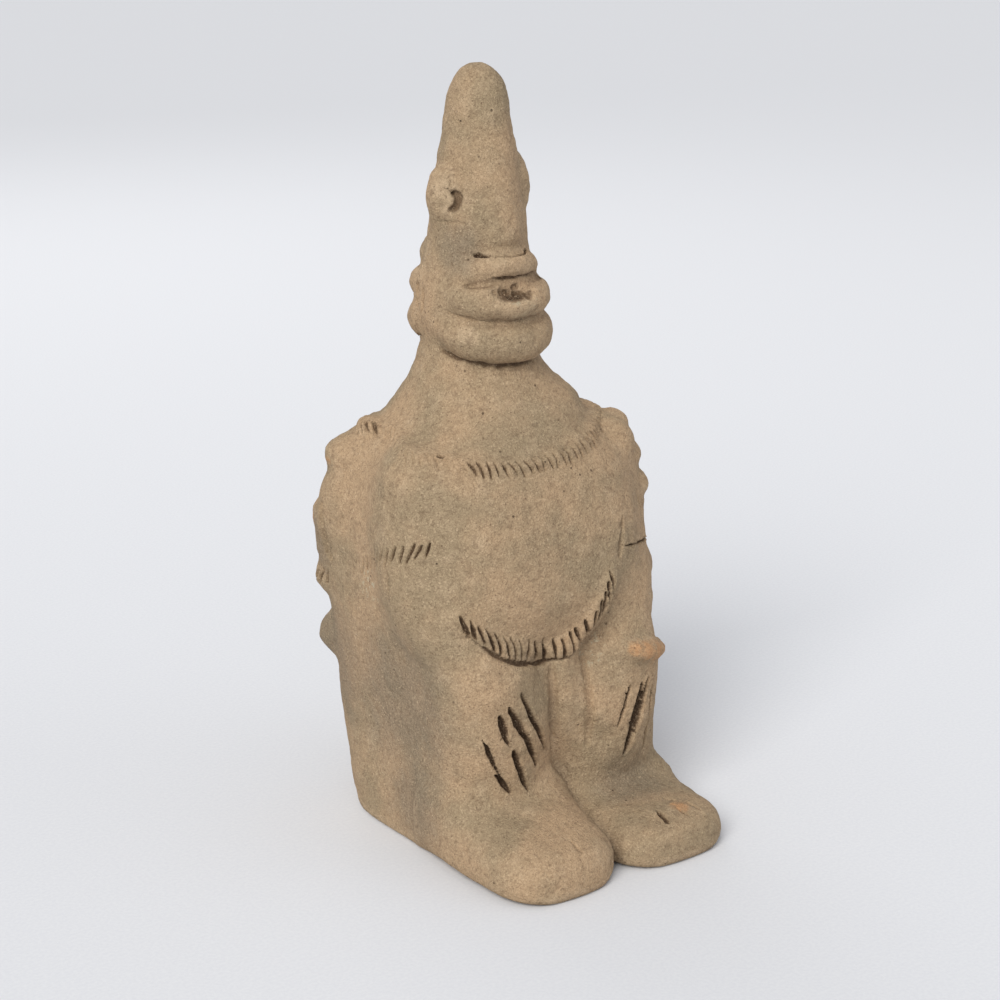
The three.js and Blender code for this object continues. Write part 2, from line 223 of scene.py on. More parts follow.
@dataclass
class Stack(Form):
    """A form given by sections across it, from one end to the other.

    Each row holds its place along the form, its half width, its reach in front and behind (or above
    and below, where the form lies), how square those two halves are, and its centre's depth.
    """

    rows: Sequence[Sequence[float]]
    middle: float = 0.0
    lying: bool = False
    rim: float = 3.0
    table: tuple[Array, Array] = field(init=False)

    def __post_init__(self) -> None:
        """Works out the smooth table of sections."""
        rows = np.array(self.rows, float)
        self.table = eased(rows[:, 0], rows[:, 1:])

    def box(self) -> tuple[Array, Array]:
        """Lowest and highest corner of the form."""
        at, rows = self.table
        front = (rows[:, 5] + rows[:, 1]).max()
        back = (rows[:, 5] - rows[:, 2]).min()
        wide = rows[:, 0].max()
        if self.lying:
            low, high = (-at[-1], back), (-at[0], front)
        else:
            low, high = (-front, at[0]), (-back, at[-1])
        return np.array([self.middle - wide, *low]), np.array([self.middle + wide, *high])

    def distance(self, points: Array) -> Array:
        """Distance from each point to the form's surface."""
        forward, height = -points[:, 1], points[:, 2]
        along, depth = (forward, height) if self.lying else (height, forward)
        at, rows = self.table
        wide, front, back, square_front, square_back, centre = (
            np.interp(along, at, rows[:, column]) for column in range(6)
        )
        depth = depth - centre
        ahead = depth > 0
        reach = np.where(ahead, front, back)
        power = np.where(ahead, square_front, square_back)
        across = np.abs(points[:, 0] - self.middle) / wide + 1e-4
        deep = np.abs(depth) / reach + 1e-4
        level = (across**power + deep**power) ** (1 / power)
        slope = np.hypot(across ** (power - 1) / wide, deep ** (power - 1) / reach)
        steep = level ** (1 - power) * slope
        ends = np.maximum(at[0] - along, along - at[-1])
        return -smooth_join(-(level - 1) / steep, -ends, self.rim)


@dataclass(frozen=True)
class Join:
    """A form and how far its seam is smoothed."""

    form: Form
    blend: float


def lumps(points: Array, size: float, seed: int) -> Array:
    """Smooth random lumps in space, from -1 to 1.

    Args:
        points: Where to read them.
        size: The spacing of the lumps.
        seed: Which pattern.

    Returns:
        The lumps' height at each point.
    """
    cell = np.floor(points / size)
    share = points / size - cell
    share = share * share * (3 - 2 * share)
    value = np.zeros(len(points))
    for corner in np.ndindex(2, 2, 2):
        weight = np.prod(np.where(corner, share, 1 - share), axis=1)
        key = (cell + corner) @ HASH + HASH_SEED * seed
        value += weight * (2 * np.modf(np.abs(np.sin(key)) * HASH_SCALE)[0] - 1)
    return value


@dataclass
class Strokes:
    """Marks of a pointed tool: straight strokes on the surface, pressed in along its normal.

    A run of joined strokes is one long mark, and shares holds each stroke's part of it.
    """

    starts: Array
    ends: Array
    width: float
    depth: float
    shares: Array
    pinch: float = 0.55
    burr: float = 0.1
    steepness: float = 2.4
    ragged: float = 0.18
    # How dark each unit of the stroke's depth is painted: partly dirt, partly painted shade.
    soil: float = 1.0
    ragged_size: float = 2.2
    ragged_seed: int = 5
    burr_place: float = 1.45
    burr_spread: float = 0.7

    @classmethod
    def along(cls, run: Array, width: float, depth: float, **looks: float) -> "Strokes":
        """One long mark through the points of a run."""
        share = np.linspace(0, 1, len(run))
        return cls(run[:-1], run[1:], width, depth, np.column_stack([share[:-1], share[1:]]), **looks)

    @classmethod
    def laid(
        cls, clay: "Clay", ends: tuple[Array, Array], width: float, depth: float, **looks: float
    ) -> "Strokes":
        """Short marks that follow the clay.

        Args:
            clay: What they lie on.
            ends: Where each starts and where each ends.
            width: Their width.
            depth: Their depth.
            looks: Other fields of the strokes.

        Returns:
            The strokes, each in four joined parts.
        """
        share = np.linspace(0, 1, 5)
        spots = ends[0][:, None] * (1 - share)[None, :, None] + ends[1][:, None] * share[None, :, None]
        spots = clay.settle(spots.reshape(-1, 3), 4).reshape(spots.shape)
        starts, stops = spots[:, :-1].reshape(-1, 3), spots[:, 1:].reshape(-1, 3)
        shares = np.tile(np.column_stack([share[:-1], share[1:]]), (len(spots), 1))
        return cls(starts, stops, width, depth, shares, **looks)

    def away(self, points: Array, reach: float) -> tuple[Array, Array]:
        """How far each point is from the nearest stroke.

        Args:
            points: Points on or near the surface.
            reach: The distance past which a point is counted as far.

        Returns:
            The distances and, for each point, its share of the way along the mark.
        """
        best = np.full(len(points), reach)
        along = np.zeros(len(points))
        for start, end, (first, last) in zip(self.starts, self.ends, self.shares):
            low, high = np.minimum(start, end) - reach, np.maximum(start, end) + reach
            picked = np.flatnonzero(((points > low) & (points < high)).all(axis=1))
            run = end - start
            share = np.clip((points[picked] - start) @ run / (run @ run + TINY), 0.0, 1.0)
            gap = np.linalg.norm(points[picked] - start - share[:, None] * run, axis=1)
            nearer = gap < best[picked]
            best[picked[nearer]] = gap[nearer]
            along[picked[nearer]] = first + share[nearer] * (last - first)
        return best, along

    def press(self, points: Array) -> Array:
        """How deep the tool goes at each point, less than nothing where it raises a burr."""
        reach = 1.1 * self.width + self.ragged
        gap, along = self.away(points, reach)
        depth = np.zeros(len(points))
        near = gap < reach
        swell = 1 - self.pinch * (1 - np.sqrt(np.abs(np.sin(np.pi * along[near]))))
        uneven = self.ragged * lumps(points[near], self.ragged_size, self.ragged_seed)
        share = (gap[near] + uneven) / (swell * self.width / 2)
        inside = np.clip(1 - np.maximum(share, 0) ** self.steepness, 0, 1)
        beside = np.clip(1 - np.abs(share - self.burr_place) / self.burr_spread, 0, 1) ** 2
        depth[near] = self.depth * np.sqrt(swell) * (inside - self.burr * beside)
        return depth


@dataclass
class Clay:
    """All the clay of the figure: what is joined on, what is hollowed out and what is drawn in."""

    joins: list[Join] = field(default_factory=list)
    hollows: list[Join] = field(default_factory=list)
    strokes: list[Strokes] = field(default_factory=list)
    foot_blend: float = 2.0
    flattest: float = 0.2
    longest_step: float = 2.0
    looks: int = 110
    shallowest: float = 0.02

    def body(self, points: Array) -> Array:
        """Distance from each point to the clay before the tool's strokes."""
        value = self.whole(points)
        for cut in self.hollows:
            picked = np.flatnonzero(cut.form.near(points, cut.blend + 1))
            if len(picked):
                value[picked] = smooth_cut(value[picked], cut.form.distance(points[picked]), cut.blend)
        return smooth_cut(value, points[:, 2], self.foot_blend)

    def whole(self, points: Array) -> Array:
        """Distance from each point to the joined forms before anything is hollowed out."""
        value = np.full(len(points), FAR)
        for join in self.joins:
            picked = np.flatnonzero(join.form.near(points, FAR))
            if len(picked):
                value[picked] = smooth_join(value[picked], join.form.distance(points[picked]), join.blend)
        return value

    def slope(self, points: Array, step: float = 0.25) -> tuple[Array, Array]:
        """The body's distance and its gradient at each point."""
        corners = np.array([(1, 1, 1), (1, -1, -1), (-1, 1, -1), (-1, -1, 1)], float)
        values = [self.body(points + step * corner) for corner in corners]
        gradient = sum(value[:, None] * corner for value, corner in zip(values, corners)) / (4 * step)
        return sum(values) / 4, gradient

    def settle(self, points: Array, rounds: int = 3) -> Array:
        """Moves points onto the body's surface."""
        for _ in range(rounds):
            value, gradient = self.slope(points)
            steep = np.maximum(np.einsum("ij,ij->i", gradient, gradient), self.flattest)
            step = np.clip(value / steep, -self.longest_step, self.longest_step)
            points = points - step[:, None] * gradient
        return points

    def first_hit(self, starts: Array, ends: Array) -> Array:
        """Where straight looks from outside first meet the body.

        Args:
            starts: Points outside the clay.
            ends: Points inside it.

        Returns:
            One point of the surface for each look.
        """
        shares = np.linspace(0, 1, self.looks)
        looks = starts[:, None] + (ends - starts)[:, None] * shares[None, :, None]
        inside = self.body(looks.reshape(-1, 3)).reshape(len(starts), -1) < 0
        first = np.maximum(inside.argmax(axis=1), 1)
        rows = np.arange(len(starts))
        return self.settle((looks[rows, first] + looks[rows, first - 1]) / 2, 5)

    def press(self, points: Array) -> tuple[Array, Array]:
        """How deep the strokes go at each point, and how deep the dirt and painted shade lie in them."""
        deepest = np.zeros(len(points))
        raised = np.zeros(len(points))
        soil = np.zeros(len(points))
        for row in self.strokes:
            depth = row.press(points)
            deepest = np.maximum(deepest, depth)
            raised = np.minimum(raised, depth)
            soil = np.maximum(soil, depth * row.soil)
        return np.where(deepest > self.shallowest, deepest, raised), soil


class Value:
    """A node's output socket that takes arithmetic: an expression on values adds its Math nodes."""

    def __init__(self, graph: "Graph", socket: bpy.types.NodeSocket) -> None:
        """Keeps the graph and the socket."""
        self.graph = graph
        self.socket = socket

    def _math(self, operation: str, first: Any, second: Any) -> "Value":
        """One Math node on two values."""
        return self.graph.node("ShaderNodeMath", {"operation": operation}, {0: first, 1: second})

    def __add__(self, other: Any) -> "Value":
        """Sum."""
        return self._math("ADD", self, other)

    def __radd__(self, other: Any) -> "Value":
        """Sum with the value on the right."""
        return self._math("ADD", other, self)

    def __sub__(self, other: Any) -> "Value":
        """Difference."""
        return self._math("SUBTRACT", self, other)

    def __mul__(self, other: Any) -> "Value":
        """Product."""
        return self._math("MULTIPLY", self, other)

    def __rtruediv__(self, other: Any) -> "Value":
        """Quotient with the value on the right."""
        return self._math("DIVIDE", other, self)


class Graph:
    """A node tree of a material or of Geometry Nodes, filled through one method."""

    def __init__(self, tree: bpy.types.NodeTree) -> None:
        """Keeps the tree."""
        self.tree = tree

    def node(
        self,
        kind: str,
        settings: Mapping[str, Any] | None = None,
        sockets: Mapping[str | int, Any] | None = None,
        output: str | int = 0,
    ) -> Value:
        """Adds a node.

        Args:
            kind: The node's type.
            settings: Its properties, set before its sockets. "stops" is a ramp's list of
                (position, colour).
            sockets: A value, or another node's output, for each input by name or number.
            output: The output that the result stands for.

        Returns:
            That output as a value.
        """
        made = self.tree.nodes.new(kind)
        for name, setting in (settings or {}).items():
            if name == "stops":
                self._fill_ramp(made.color_ramp, setting)
            else:
                setattr(made, name, setting)
        for name, given in (sockets or {}).items():
            socket = made.inputs[name]
            if isinstance(given, Value):
                self.tree.links.new(given.socket, socket)
            else:
                socket.default_value = given
        return Value(self, made.outputs[output] if len(made.outputs) else None)

    @staticmethod
    def _fill_ramp(ramp: bpy.types.ColorRamp, stops: Sequence[tuple[float, Any]]) -> None:
        """Gives a colour ramp its stops."""
        for index, (position, colour) in enumerate(stops):
            stop = ramp.elements[index] if index < 2 else ramp.elements.new(position)
            stop.position = position
            stop.color = colour

    def scaled(self, vector: Any, factor: Any) -> Value:
        """A vector times a number."""
        return self.node("ShaderNodeVectorMath", {"operation": "SCALE"}, {0: vector, "Scale": factor})

    def mix(self, share: Any, first: Any, second: Any) -> Value:
        """A colour between two colours."""
        sockets = {0: share, 6: first, 7: second}
        return self.node("ShaderNodeMix", {"data_type": "RGBA"}, sockets, 2)

    def noise(
        self, spot: Any, scale: float, detail: float = 2.0, roughness: float = 0.5, warp: float = 0.0
    ) -> Value:
        """Fractal noise from 0 to 1.

        Args:
            spot: Where to read it.
            scale: How many of its features there are for each unit of the spot.
            detail: How many finer layers it has.
            roughness: How strong each finer layer is.
            warp: How far it is drawn out into streaks.

        Returns:
            The noise.
        """
        sockets = {"Vector": spot, "Scale": scale, "Detail": detail}
        sockets |= {"Roughness": roughness, "Distortion": warp}
        return self.node("ShaderNodeTexNoise", None, sockets)

    def cells(self, spot: Any, size: float) -> tuple[Value, Value]:
        """Scattered grains.

        Args:
            spot: Where to read them.
            size: Their spacing.

        Returns:
            The distance to the nearest grain, and that grain's own number from 0 to 1.
        """
        sockets = {"Vector": spot, "Scale": 1 / size, "Randomness": 1.0}
        gap = self.node("ShaderNodeTexVoronoi", {"feature": "F1"}, sockets)
        colour = Value(self, gap.socket.node.outputs["Color"])
        return gap, self.node("ShaderNodeSeparateColor", None, {0: colour})

    def span(self, value: Any, low: float, high: float, start: float = 0.0, end: float = 1.0) -> Value:
        """A value's run from low to high, eased and turned into a run from start to end."""
        sockets = {0: value, 1: low, 2: high, 3: start, 4: end}
        return self.node("ShaderNodeMapRange", {"interpolation_type": "SMOOTHSTEP"}, sockets)

    def attribute(self, name: str) -> Value:
        """A number that the mesh keeps for each of its points."""
        return self.node("ShaderNodeAttribute", {"attribute_name": name}, None, "Fac")

    def coat(self, relief: Value, depth: float, strength: float, sockets: Mapping[str, Any]) -> None:
        """Ends a material in a bumpy surface.

        Args:
            relief: The height of its bumps, from 0 to 1.
            depth: How high a bump of 1 stands, in millimetres.
            strength: How strongly the bumps show.
            sockets: The surface's other inputs.
        """
        bumps = {"Strength": strength, "Distance": depth * MM, "Height": relief}
        bump = self.node("ShaderNodeBump", None, bumps)
        shader = self.node("ShaderNodeBsdfPrincipled", None, {**sockets, "Normal": bump})
        self.node("ShaderNodeOutputMaterial", None, {"Surface": shader})


def srgb(red: int, green: int, blue: int) -> tuple[float, float, float, float]:
    """A colour picked by its display values, as the shader's linear colour."""
    share = np.array([red, green, blue]) / 255
    linear = np.where(share <= 0.04045, share / 12.92, ((share + 0.055) / 1.055) ** 2.4)
    return (float(linear[0]), float(linear[1]), float(linear[2]), 1.0)


def blank(name: str) -> tuple[bpy.types.Material, Graph, Value]:
    """Starts a material.

    Args:
        name: Its name.

    Returns:
        The material, its empty graph, and the place on the object in millimetres.
    """
    made = bpy.data.materials.new(name)
    made.use_nodes = True
    made.node_tree.nodes.clear()
    graph = Graph(made.node_tree)
    coordinates = graph.node("ShaderNodeTexCoord", None, None, "Object")
    return made, graph, graph.scaled(coordinates, 1 / MM)


@dataclass(frozen=True)
class FiredClay:
    """Low-fired, sandy, greyish tan earthenware with worn, paler edges; dirt and painted shade darken its
    cuts, and painted shade darkens its recesses.
    """

    tan: tuple[int, int, int] = (182, 154, 122)
    grey: tuple[int, int, int] = (158, 139, 111)
    pale: tuple[int, int, int] = (206, 181, 149)
    ochre: tuple[int, int, int] = (196, 147, 103)
    soot: tuple[int, int, int] = (112, 105, 92)
    # The two darkest browns serve both for dirt and for painted shade in recesses and cuts.
    soil: tuple[int, int, int] = (92, 71, 52)
    deep_soil: tuple[int, int, int] = (62, 46, 33)
    lime: tuple[int, int, int] = (196, 194, 170)
    patch: float = 34.0
    blotch: float = 9.0
    mottle: float = 2.6
    sand: float = 0.85
    grain: float = 1.25
    pit: float = 3.1
    roughness: Span = (0.86, 0.96)
    gloss: float = 0.22
    bump: float = 1.1

    def material(self) -> bpy.types.Material:
        """Builds the clay's material.

        Returns:
            The material, with its pattern in millimetres of the object's own space.
        """
        made, graph, spot = blank("fired_clay")
        patches = graph.noise(spot, 1 / self.patch, 3, 0.55)
        blotches = graph.noise(spot, 1 / self.blotch, 4, 0.6)
        mottles = graph.noise(spot, 1 / self.mottle, 3, 0.6)
        sand = graph.noise(spot, 1 / self.sand, 3, 0.75, 1.2)
        grains, pick = graph.cells(spot, self.grain)
        pits, pit_pick = graph.cells(spot, self.pit)
        hollow, crest, cut, ochre, soot, lime = (
            graph.attribute(name) for name in ("hollow", "crest", "cut", "ochre", "soot", "lime")
        )
        sooty = soot * (blotches + mottles)
        worn = graph.span(crest + (blotches - 0.5) * 0.35, 0.1, 0.62)
        rubbed = graph.span(ochre + (mottles - 0.5) * 0.8, 0.3, 0.85)
        # Painted shade: recesses where the clay closes round a point take the dark brown, and strokes and
        # hollows darken with depth, partly dirt and partly painted shade.
        recess_shade = graph.span(hollow + (mottles - 0.5) * 0.3, 0.1, 0.75)
        filled = graph.span(cut + (mottles - 0.5) * 0.25, 0.22, 0.85)
        deepest_soil_and_shade = graph.span(cut + (sand - 0.5) * 0.3, 0.65, 1.15)
        dark_grain = graph.span(pick, 0.84, 0.95) * graph.span(grains, 0.32, 0.14)
        light_grain = graph.span(pick, 0.16, 0.05) * graph.span(grains, 0.34, 0.16)
        pitted = graph.span(pit_pick, 0.93, 0.97) * graph.span(pits, 0.2, 0.08)
        layers = (
            (graph.span(patches, 0.38, 0.66), 1.0, self.grey),
            (graph.span(blotches, 0.5, 0.78), 0.4, self.pale),
            (graph.span(blotches, 0.44, 0.2), 0.42, self.grey),
            (graph.span(sooty, 0.05, 0.75), 0.5, self.soot),
            (worn, 0.5, self.pale),
            (rubbed, 0.8, self.ochre),
            (recess_shade, 0.45, self.soil),
            (filled, 0.85, self.soil),
            (deepest_soil_and_shade, 0.8, self.deep_soil),
            (dark_grain, 0.6, self.soil),
            (light_grain, 0.6, self.pale),
            (graph.span(sand, 0.56, 0.3), 0.5, self.soil),
            (graph.span(sand, 0.52, 0.72), 0.6, self.pale),
            (graph.span(mottles, 0.52, 0.26), 0.34, self.soil),
            (pitted, 0.7, self.deep_soil),
            (lime * graph.span(mottles, 0.55, 0.66), 0.8, self.lime),
        )
        colour = srgb(*self.tan)
        for share, strength, tone in layers:
            colour = graph.mix(share * strength, colour, srgb(*tone))
        relief = blotches * 0.5 + mottles * 0.45 + sand * 0.42
        relief = relief + graph.span(grains, 0.5, 0.1) * 0.14 - pitted * 0.45
        roughness = graph.span(mottles, 0.3, 0.7, *self.roughness)
        sockets = {"Base Color": colour, "Roughness": roughness, "Specular IOR Level": self.gloss}
        graph.coat(relief, self.bump, 1.0, sockets)
        return made


@dataclass(frozen=True)
class StudioPaper:
    """The matt, pale grey paper of the studio floor."""

    tone: tuple[int, int, int] = (221, 222, 224)
    shade: tuple[int, int, int] = (216, 217, 220)
    fibre: float = 1.4
    roughness: float = 0.95
    gloss: float = 0.1
    bump: float = 0.1

    def material(self) -> bpy.types.Material:
        """Builds the paper's material.

        Returns:
            The material, with a faint tooth.
        """
        made, graph, spot = blank("studio_paper")
        tooth = graph.noise(spot, 1 / self.fibre, 3, 0.6)
        colour = graph.mix(graph.span(tooth, 0.3, 0.7), srgb(*self.tone), srgb(*self.shade))
        sockets = {"Base Color": colour, "Roughness": self.roughness, "Specular IOR Level": self.gloss}
        graph.coat(tooth, self.bump, 0.12, sockets)
        return made


def shown(name: str, data: bpy.types.ID) -> bpy.types.Object:
    """A new object in the scene.

    Args:
        name: Its name.
        data: Its mesh, light or camera.

    Returns:
        The object.
    """
    made = bpy.data.objects.new(name, data)
    bpy.context.scene.collection.objects.link(made)
    return made


class Recipe:
    """A Geometry Nodes tree with named inputs, put on an object as a modifier and then applied."""

    def __init__(self, name: str, inputs: Mapping[str, tuple[str, Any]]) -> None:
        """Makes the empty tree.

        Args:
            name: The tree's name.
            inputs: Socket type and default value of each named input.
        """
        self.tree = bpy.data.node_groups.new(name, "GeometryNodeTree")
        self.tree.interface.new_socket("Geometry", in_out="INPUT", socket_type="NodeSocketGeometry")
        self.keys: dict[str, str] = {}
        for label, (kind, default) in inputs.items():
            socket = self.tree.interface.new_socket(label, in_out="INPUT", socket_type=kind)
            if default is not None:
                socket.default_value = default
            self.keys[label] = socket.identifier
        self.tree.interface.new_socket("Geometry", in_out="OUTPUT", socket_type="NodeSocketGeometry")
        self.graph = Graph(self.tree)
        self.source = self.tree.nodes.new("NodeGroupInput")

    def given(self, label: str) -> Value:
        """The tree's own input of that name."""
        return Value(self.graph, self.source.outputs[label])

    def finish(self, geometry: Value) -> None:
        """Ends the tree in Realize Instances and Set Material."""
        real = self.graph.node("GeometryNodeRealizeInstances", None, {"Geometry": geometry})
        sockets = {"Geometry": real, "Material": self.given("Material")}
        dressed = self.graph.node("GeometryNodeSetMaterial", None, sockets)
        self.graph.node("NodeGroupOutput", None, {"Geometry": dressed})

    def apply(self, name: str, mesh: bpy.types.Mesh, values: Mapping[str, Any]) -> bpy.types.Mesh:
        """Runs the tree on a mesh.

        Args:
            name: The name of the result.
            mesh: What goes in. It is removed afterwards.
            values: The modifier's value for each named input.

        Returns:
            The result as a plain mesh.
        """
        carrier = shown(name, mesh)
        modifier = carrier.modifiers.new("recipe", "NODES")
        modifier.node_group = self.tree
        for label, value in values.items():
            modifier[self.keys[label]] = value
        bpy.context.view_layer.update()
        graph = bpy.context.evaluated_depsgraph_get()
        made = bpy.data.meshes.new_from_object(carrier.evaluated_get(graph), depsgraph=graph)
        made.name = name
        carrier.modifiers.remove(modifier)
        bpy.data.objects.remove(carrier)
        bpy.data.meshes.remove(mesh)
        return made


class StrokeRow(Recipe):
    """Lays strokes of a tool in a row along a path on the clay, across it, each a little astray."""

    drift: float = 2.4
    wander: float = 1.6

    def __init__(self) -> None:
        """Builds the tree."""
        super().__init__(
            "stroke_row",
            {
                "Count": ("NodeSocketInt", 12),
                "Length": ("NodeSocketFloat", 9 * MM),
                "Lean": ("NodeSocketFloat", 0.2),
                "Astray": ("NodeSocketFloat", 0.15),
                "Seed": ("NodeSocketInt", 3),
                "Material": ("NodeSocketMaterial", None),
            },
        )
        graph = self.graph
        curve = graph.node("GeometryNodeMeshToCurve", None, {"Mesh": self.given("Geometry")})
        sockets = {"Curve": curve, "Count": self.given("Count")}
        places = graph.node("GeometryNodeResampleCurve", None, sockets)
        tangent = graph.node("GeometryNodeInputTangent")
        kind = {"data_type": "FLOAT_VECTOR"}
        across = graph.node("GeometryNodeInputNamedAttribute", kind, {"Name": "across"}, "Attribute")
        slide = graph.scaled(tangent, self._astray(0, 1.0) * self.drift * MM)
        moved = graph.node("GeometryNodeSetPosition", None, {"Geometry": places, "Offset": slide})
        tilt = graph.scaled(tangent, self.given("Lean") + self._astray(1, self.wander))
        aim = graph.node("ShaderNodeVectorMath", {"operation": "ADD"}, {0: across, 1: tilt})
        turn = graph.node("FunctionNodeAlignRotationToVector", {"axis": "X"}, {"Vector": aim})
        sockets = {"Count": 2, "Start Location": (-0.5, 0, 0), "Offset": (1, 0, 0)}
        line = graph.node("GeometryNodeMeshLine", {"mode": "OFFSET"}, sockets)
        size = self.given("Length") * (1.0 + self._astray(2, 1.0))
        sockets = {"Points": moved, "Instance": line, "Rotation": turn, "Scale": size}
        self.finish(graph.node("GeometryNodeInstanceOnPoints", None, sockets))

    def _astray(self, step: int, share: float) -> Value:
        """A random number either side of nought, a share of the row's Astray input."""
        sockets = {2: -share, 3: share, "Seed": self.given("Seed") + step}
        drawn = self.graph.node("FunctionNodeRandomValue", {"data_type": "FLOAT"}, sockets, 1)
        return drawn * self.given("Astray")

    def lay(
        self,
        name: str,
        path: Array,
        across: Array,
        closed: bool,
        material: bpy.types.Material,
        values: Mapping[str, Any],
    ) -> tuple[Array, Array]:
        """Lays one row.

        Args:
            name: The row's name.
            path: Points of the path on the clay, in millimetres.
            across: The direction of the strokes at each point.
            closed: Whether the path is a ring.
            material: The clay.
            values: Count, Length in metres, Lean, Astray and Seed.

        Returns:
            The two ends of every stroke, in millimetres.
        """
        count = len(path)
        edges = [(i, (i + 1) % count) for i in range(count if closed else count - 1)]
        mesh = bpy.data.meshes.new(name)
        mesh.from_pydata([tuple(point * MM) for point in path], edges, [])
        kept = mesh.attributes.new("across", "FLOAT_VECTOR", "POINT")
        kept.data.foreach_set("vector", np.asarray(across, np.float32).ravel())
        made = self.apply(name, mesh, {**values, "Material": material})
        ends = points_of(made).reshape(-1, 2, 3) / MM
        bpy.data.meshes.remove(made)
        return ends[:, 0], ends[:, 1]


class WeatheredSkin(Recipe):
    """Gives the modelled skin its uneven, hand-smoothed surface, left flat where it stands."""

    flat_foot: float = 0.3

    def __init__(self) -> None:
        """Builds the tree."""
        super().__init__(
            "weathered_skin",
            {
                "Swell Size": ("NodeSocketFloat", 26 * MM),
                "Swell Height": ("NodeSocketFloat", 0.9 * MM),
                "Dent Size": ("NodeSocketFloat", 8 * MM),
                "Dent Height": ("NodeSocketFloat", 0.8 * MM),
                "Tooth Size": ("NodeSocketFloat", 3.4 * MM),
                "Tooth Height": ("NodeSocketFloat", 0.34 * MM),
                "Foot Height": ("NodeSocketFloat", 5 * MM),
                "Material": ("NodeSocketMaterial", None),
            },
        )
        graph = self.graph
        position = graph.node("GeometryNodeInputPosition")
        normal = graph.node("GeometryNodeInputNormal", None, None, "Normal")
        rise = None
        for label in ("Swell", "Dent", "Tooth"):
            spot = graph.scaled(position, 1.0 / self.given(f"{label} Size"))
            layer = (graph.noise(spot, 1.0, 1.5, 0.5) - 0.5) * 2.0 * self.given(f"{label} Height")
            rise = layer if rise is None else rise + layer
        height = graph.node("ShaderNodeSeparateXYZ", None, {0: position}, 2)
        sockets = {0: height, 1: self.flat_foot * MM, 2: self.given("Foot Height")}
        clear = graph.node("ShaderNodeMapRange", {"clamp": True}, sockets)
        sockets = {"Geometry": self.given("Geometry"), "Offset": graph.scaled(normal, rise * clear)}
        self.finish(graph.node("GeometryNodeSetPosition", None, sockets))


@dataclass
class Trunk:
    """The shared trunk of the two seated figures, with the rear one's belly, knees and shoulders."""

    half_width: float = 50.0
    flank_square: float = 3.2
    base_square: float = 4.0
    base_top: float = 30.0
    blend: float = 7.0
    rear_knob: Point = (6.5, 6.5, 6.2)
    nape: Point = (14.0, -10.0, 164.0)
    left_shoulder: Point = (42.0, -4.0, 152.5)

    def joins(self) -> list[Join]:
        """The trunk and what is set against it behind."""
        square = self.flank_square
        shares = (
            (-6, 1.02, 45, 38, 2.4),
            (2.5, 1.03, 48.5, 41.5, 2.4),
            (8, 1.03, 50, 44, 2.5),
            (20, 1.015, 50, 47, 2.7),
            (32, 1.01, 50, 51.5, 2.9),
            (44, 1.01, 50, 52, 3.1),
            (62, 1.03, 51, 53, square),
            (80, 1.06, 52, 54, square),
            (88, 1.08, 56.5, 54, square),
            (104, 1.1, 59.5, 54, square),
            (122, 1.1, 57.5, 53, square),
            (138, 1.06, 53, 50, square),
            (148, 1.0, 49, 46, square),
            (155, 0.94, 44.5, 41, 2.8),
            (161, 0.82, 40.5, 36, 2.5),
            (167, 0.71, 36.5, 32, 2.3),
            (173, 0.63, 33, 29.5, 2.1),
            (180, 0.54, 28, 25.5, 2.0),
            (188, 0.42, 21.5, 20, 2.0),
        )
        rows = []
        for z, share, front, back, power in shares:
            square_front = max(power, self.base_square) if z < self.base_top else power
            rows.append((z, share * self.half_width, front, back, square_front, power, 0))
        made = [Join(Stack(rows), 1.0), Join(Ball(self.nape, (24, 24, 16.5)), self.blend)]
        made.append(Join(Ball(self.left_shoulder, (13, 13, 9)), self.blend))
        made.append(Join(Ball(place(Facing.BACK, 0, 23, 104), (34, 35, 27)), self.blend))
        for side in (-1, 1):
            made.append(Join(Ball(place(Facing.BACK, side * 37, 44, 66), (11, 11, 9.5)), 6.0))
            made.append(Join(Ball(place(Facing.BACK, side * 48.4, 25.5, 149), self.rear_knob), 1.6))
            made.append(Join(Ball(place(Facing.BACK, side * 38.5, 15, 160.2), (5.5, 5.5, 3.6)), 4.0))
        return made


@dataclass(frozen=True)
class FaceSizes:
    """How one face differs from the layout that both share."""

    lift: float
    share: float


FACES = {Facing.FRONT: FaceSizes(0.0, 1.0), Facing.BACK: FaceSizes(3.0, 0.95)}


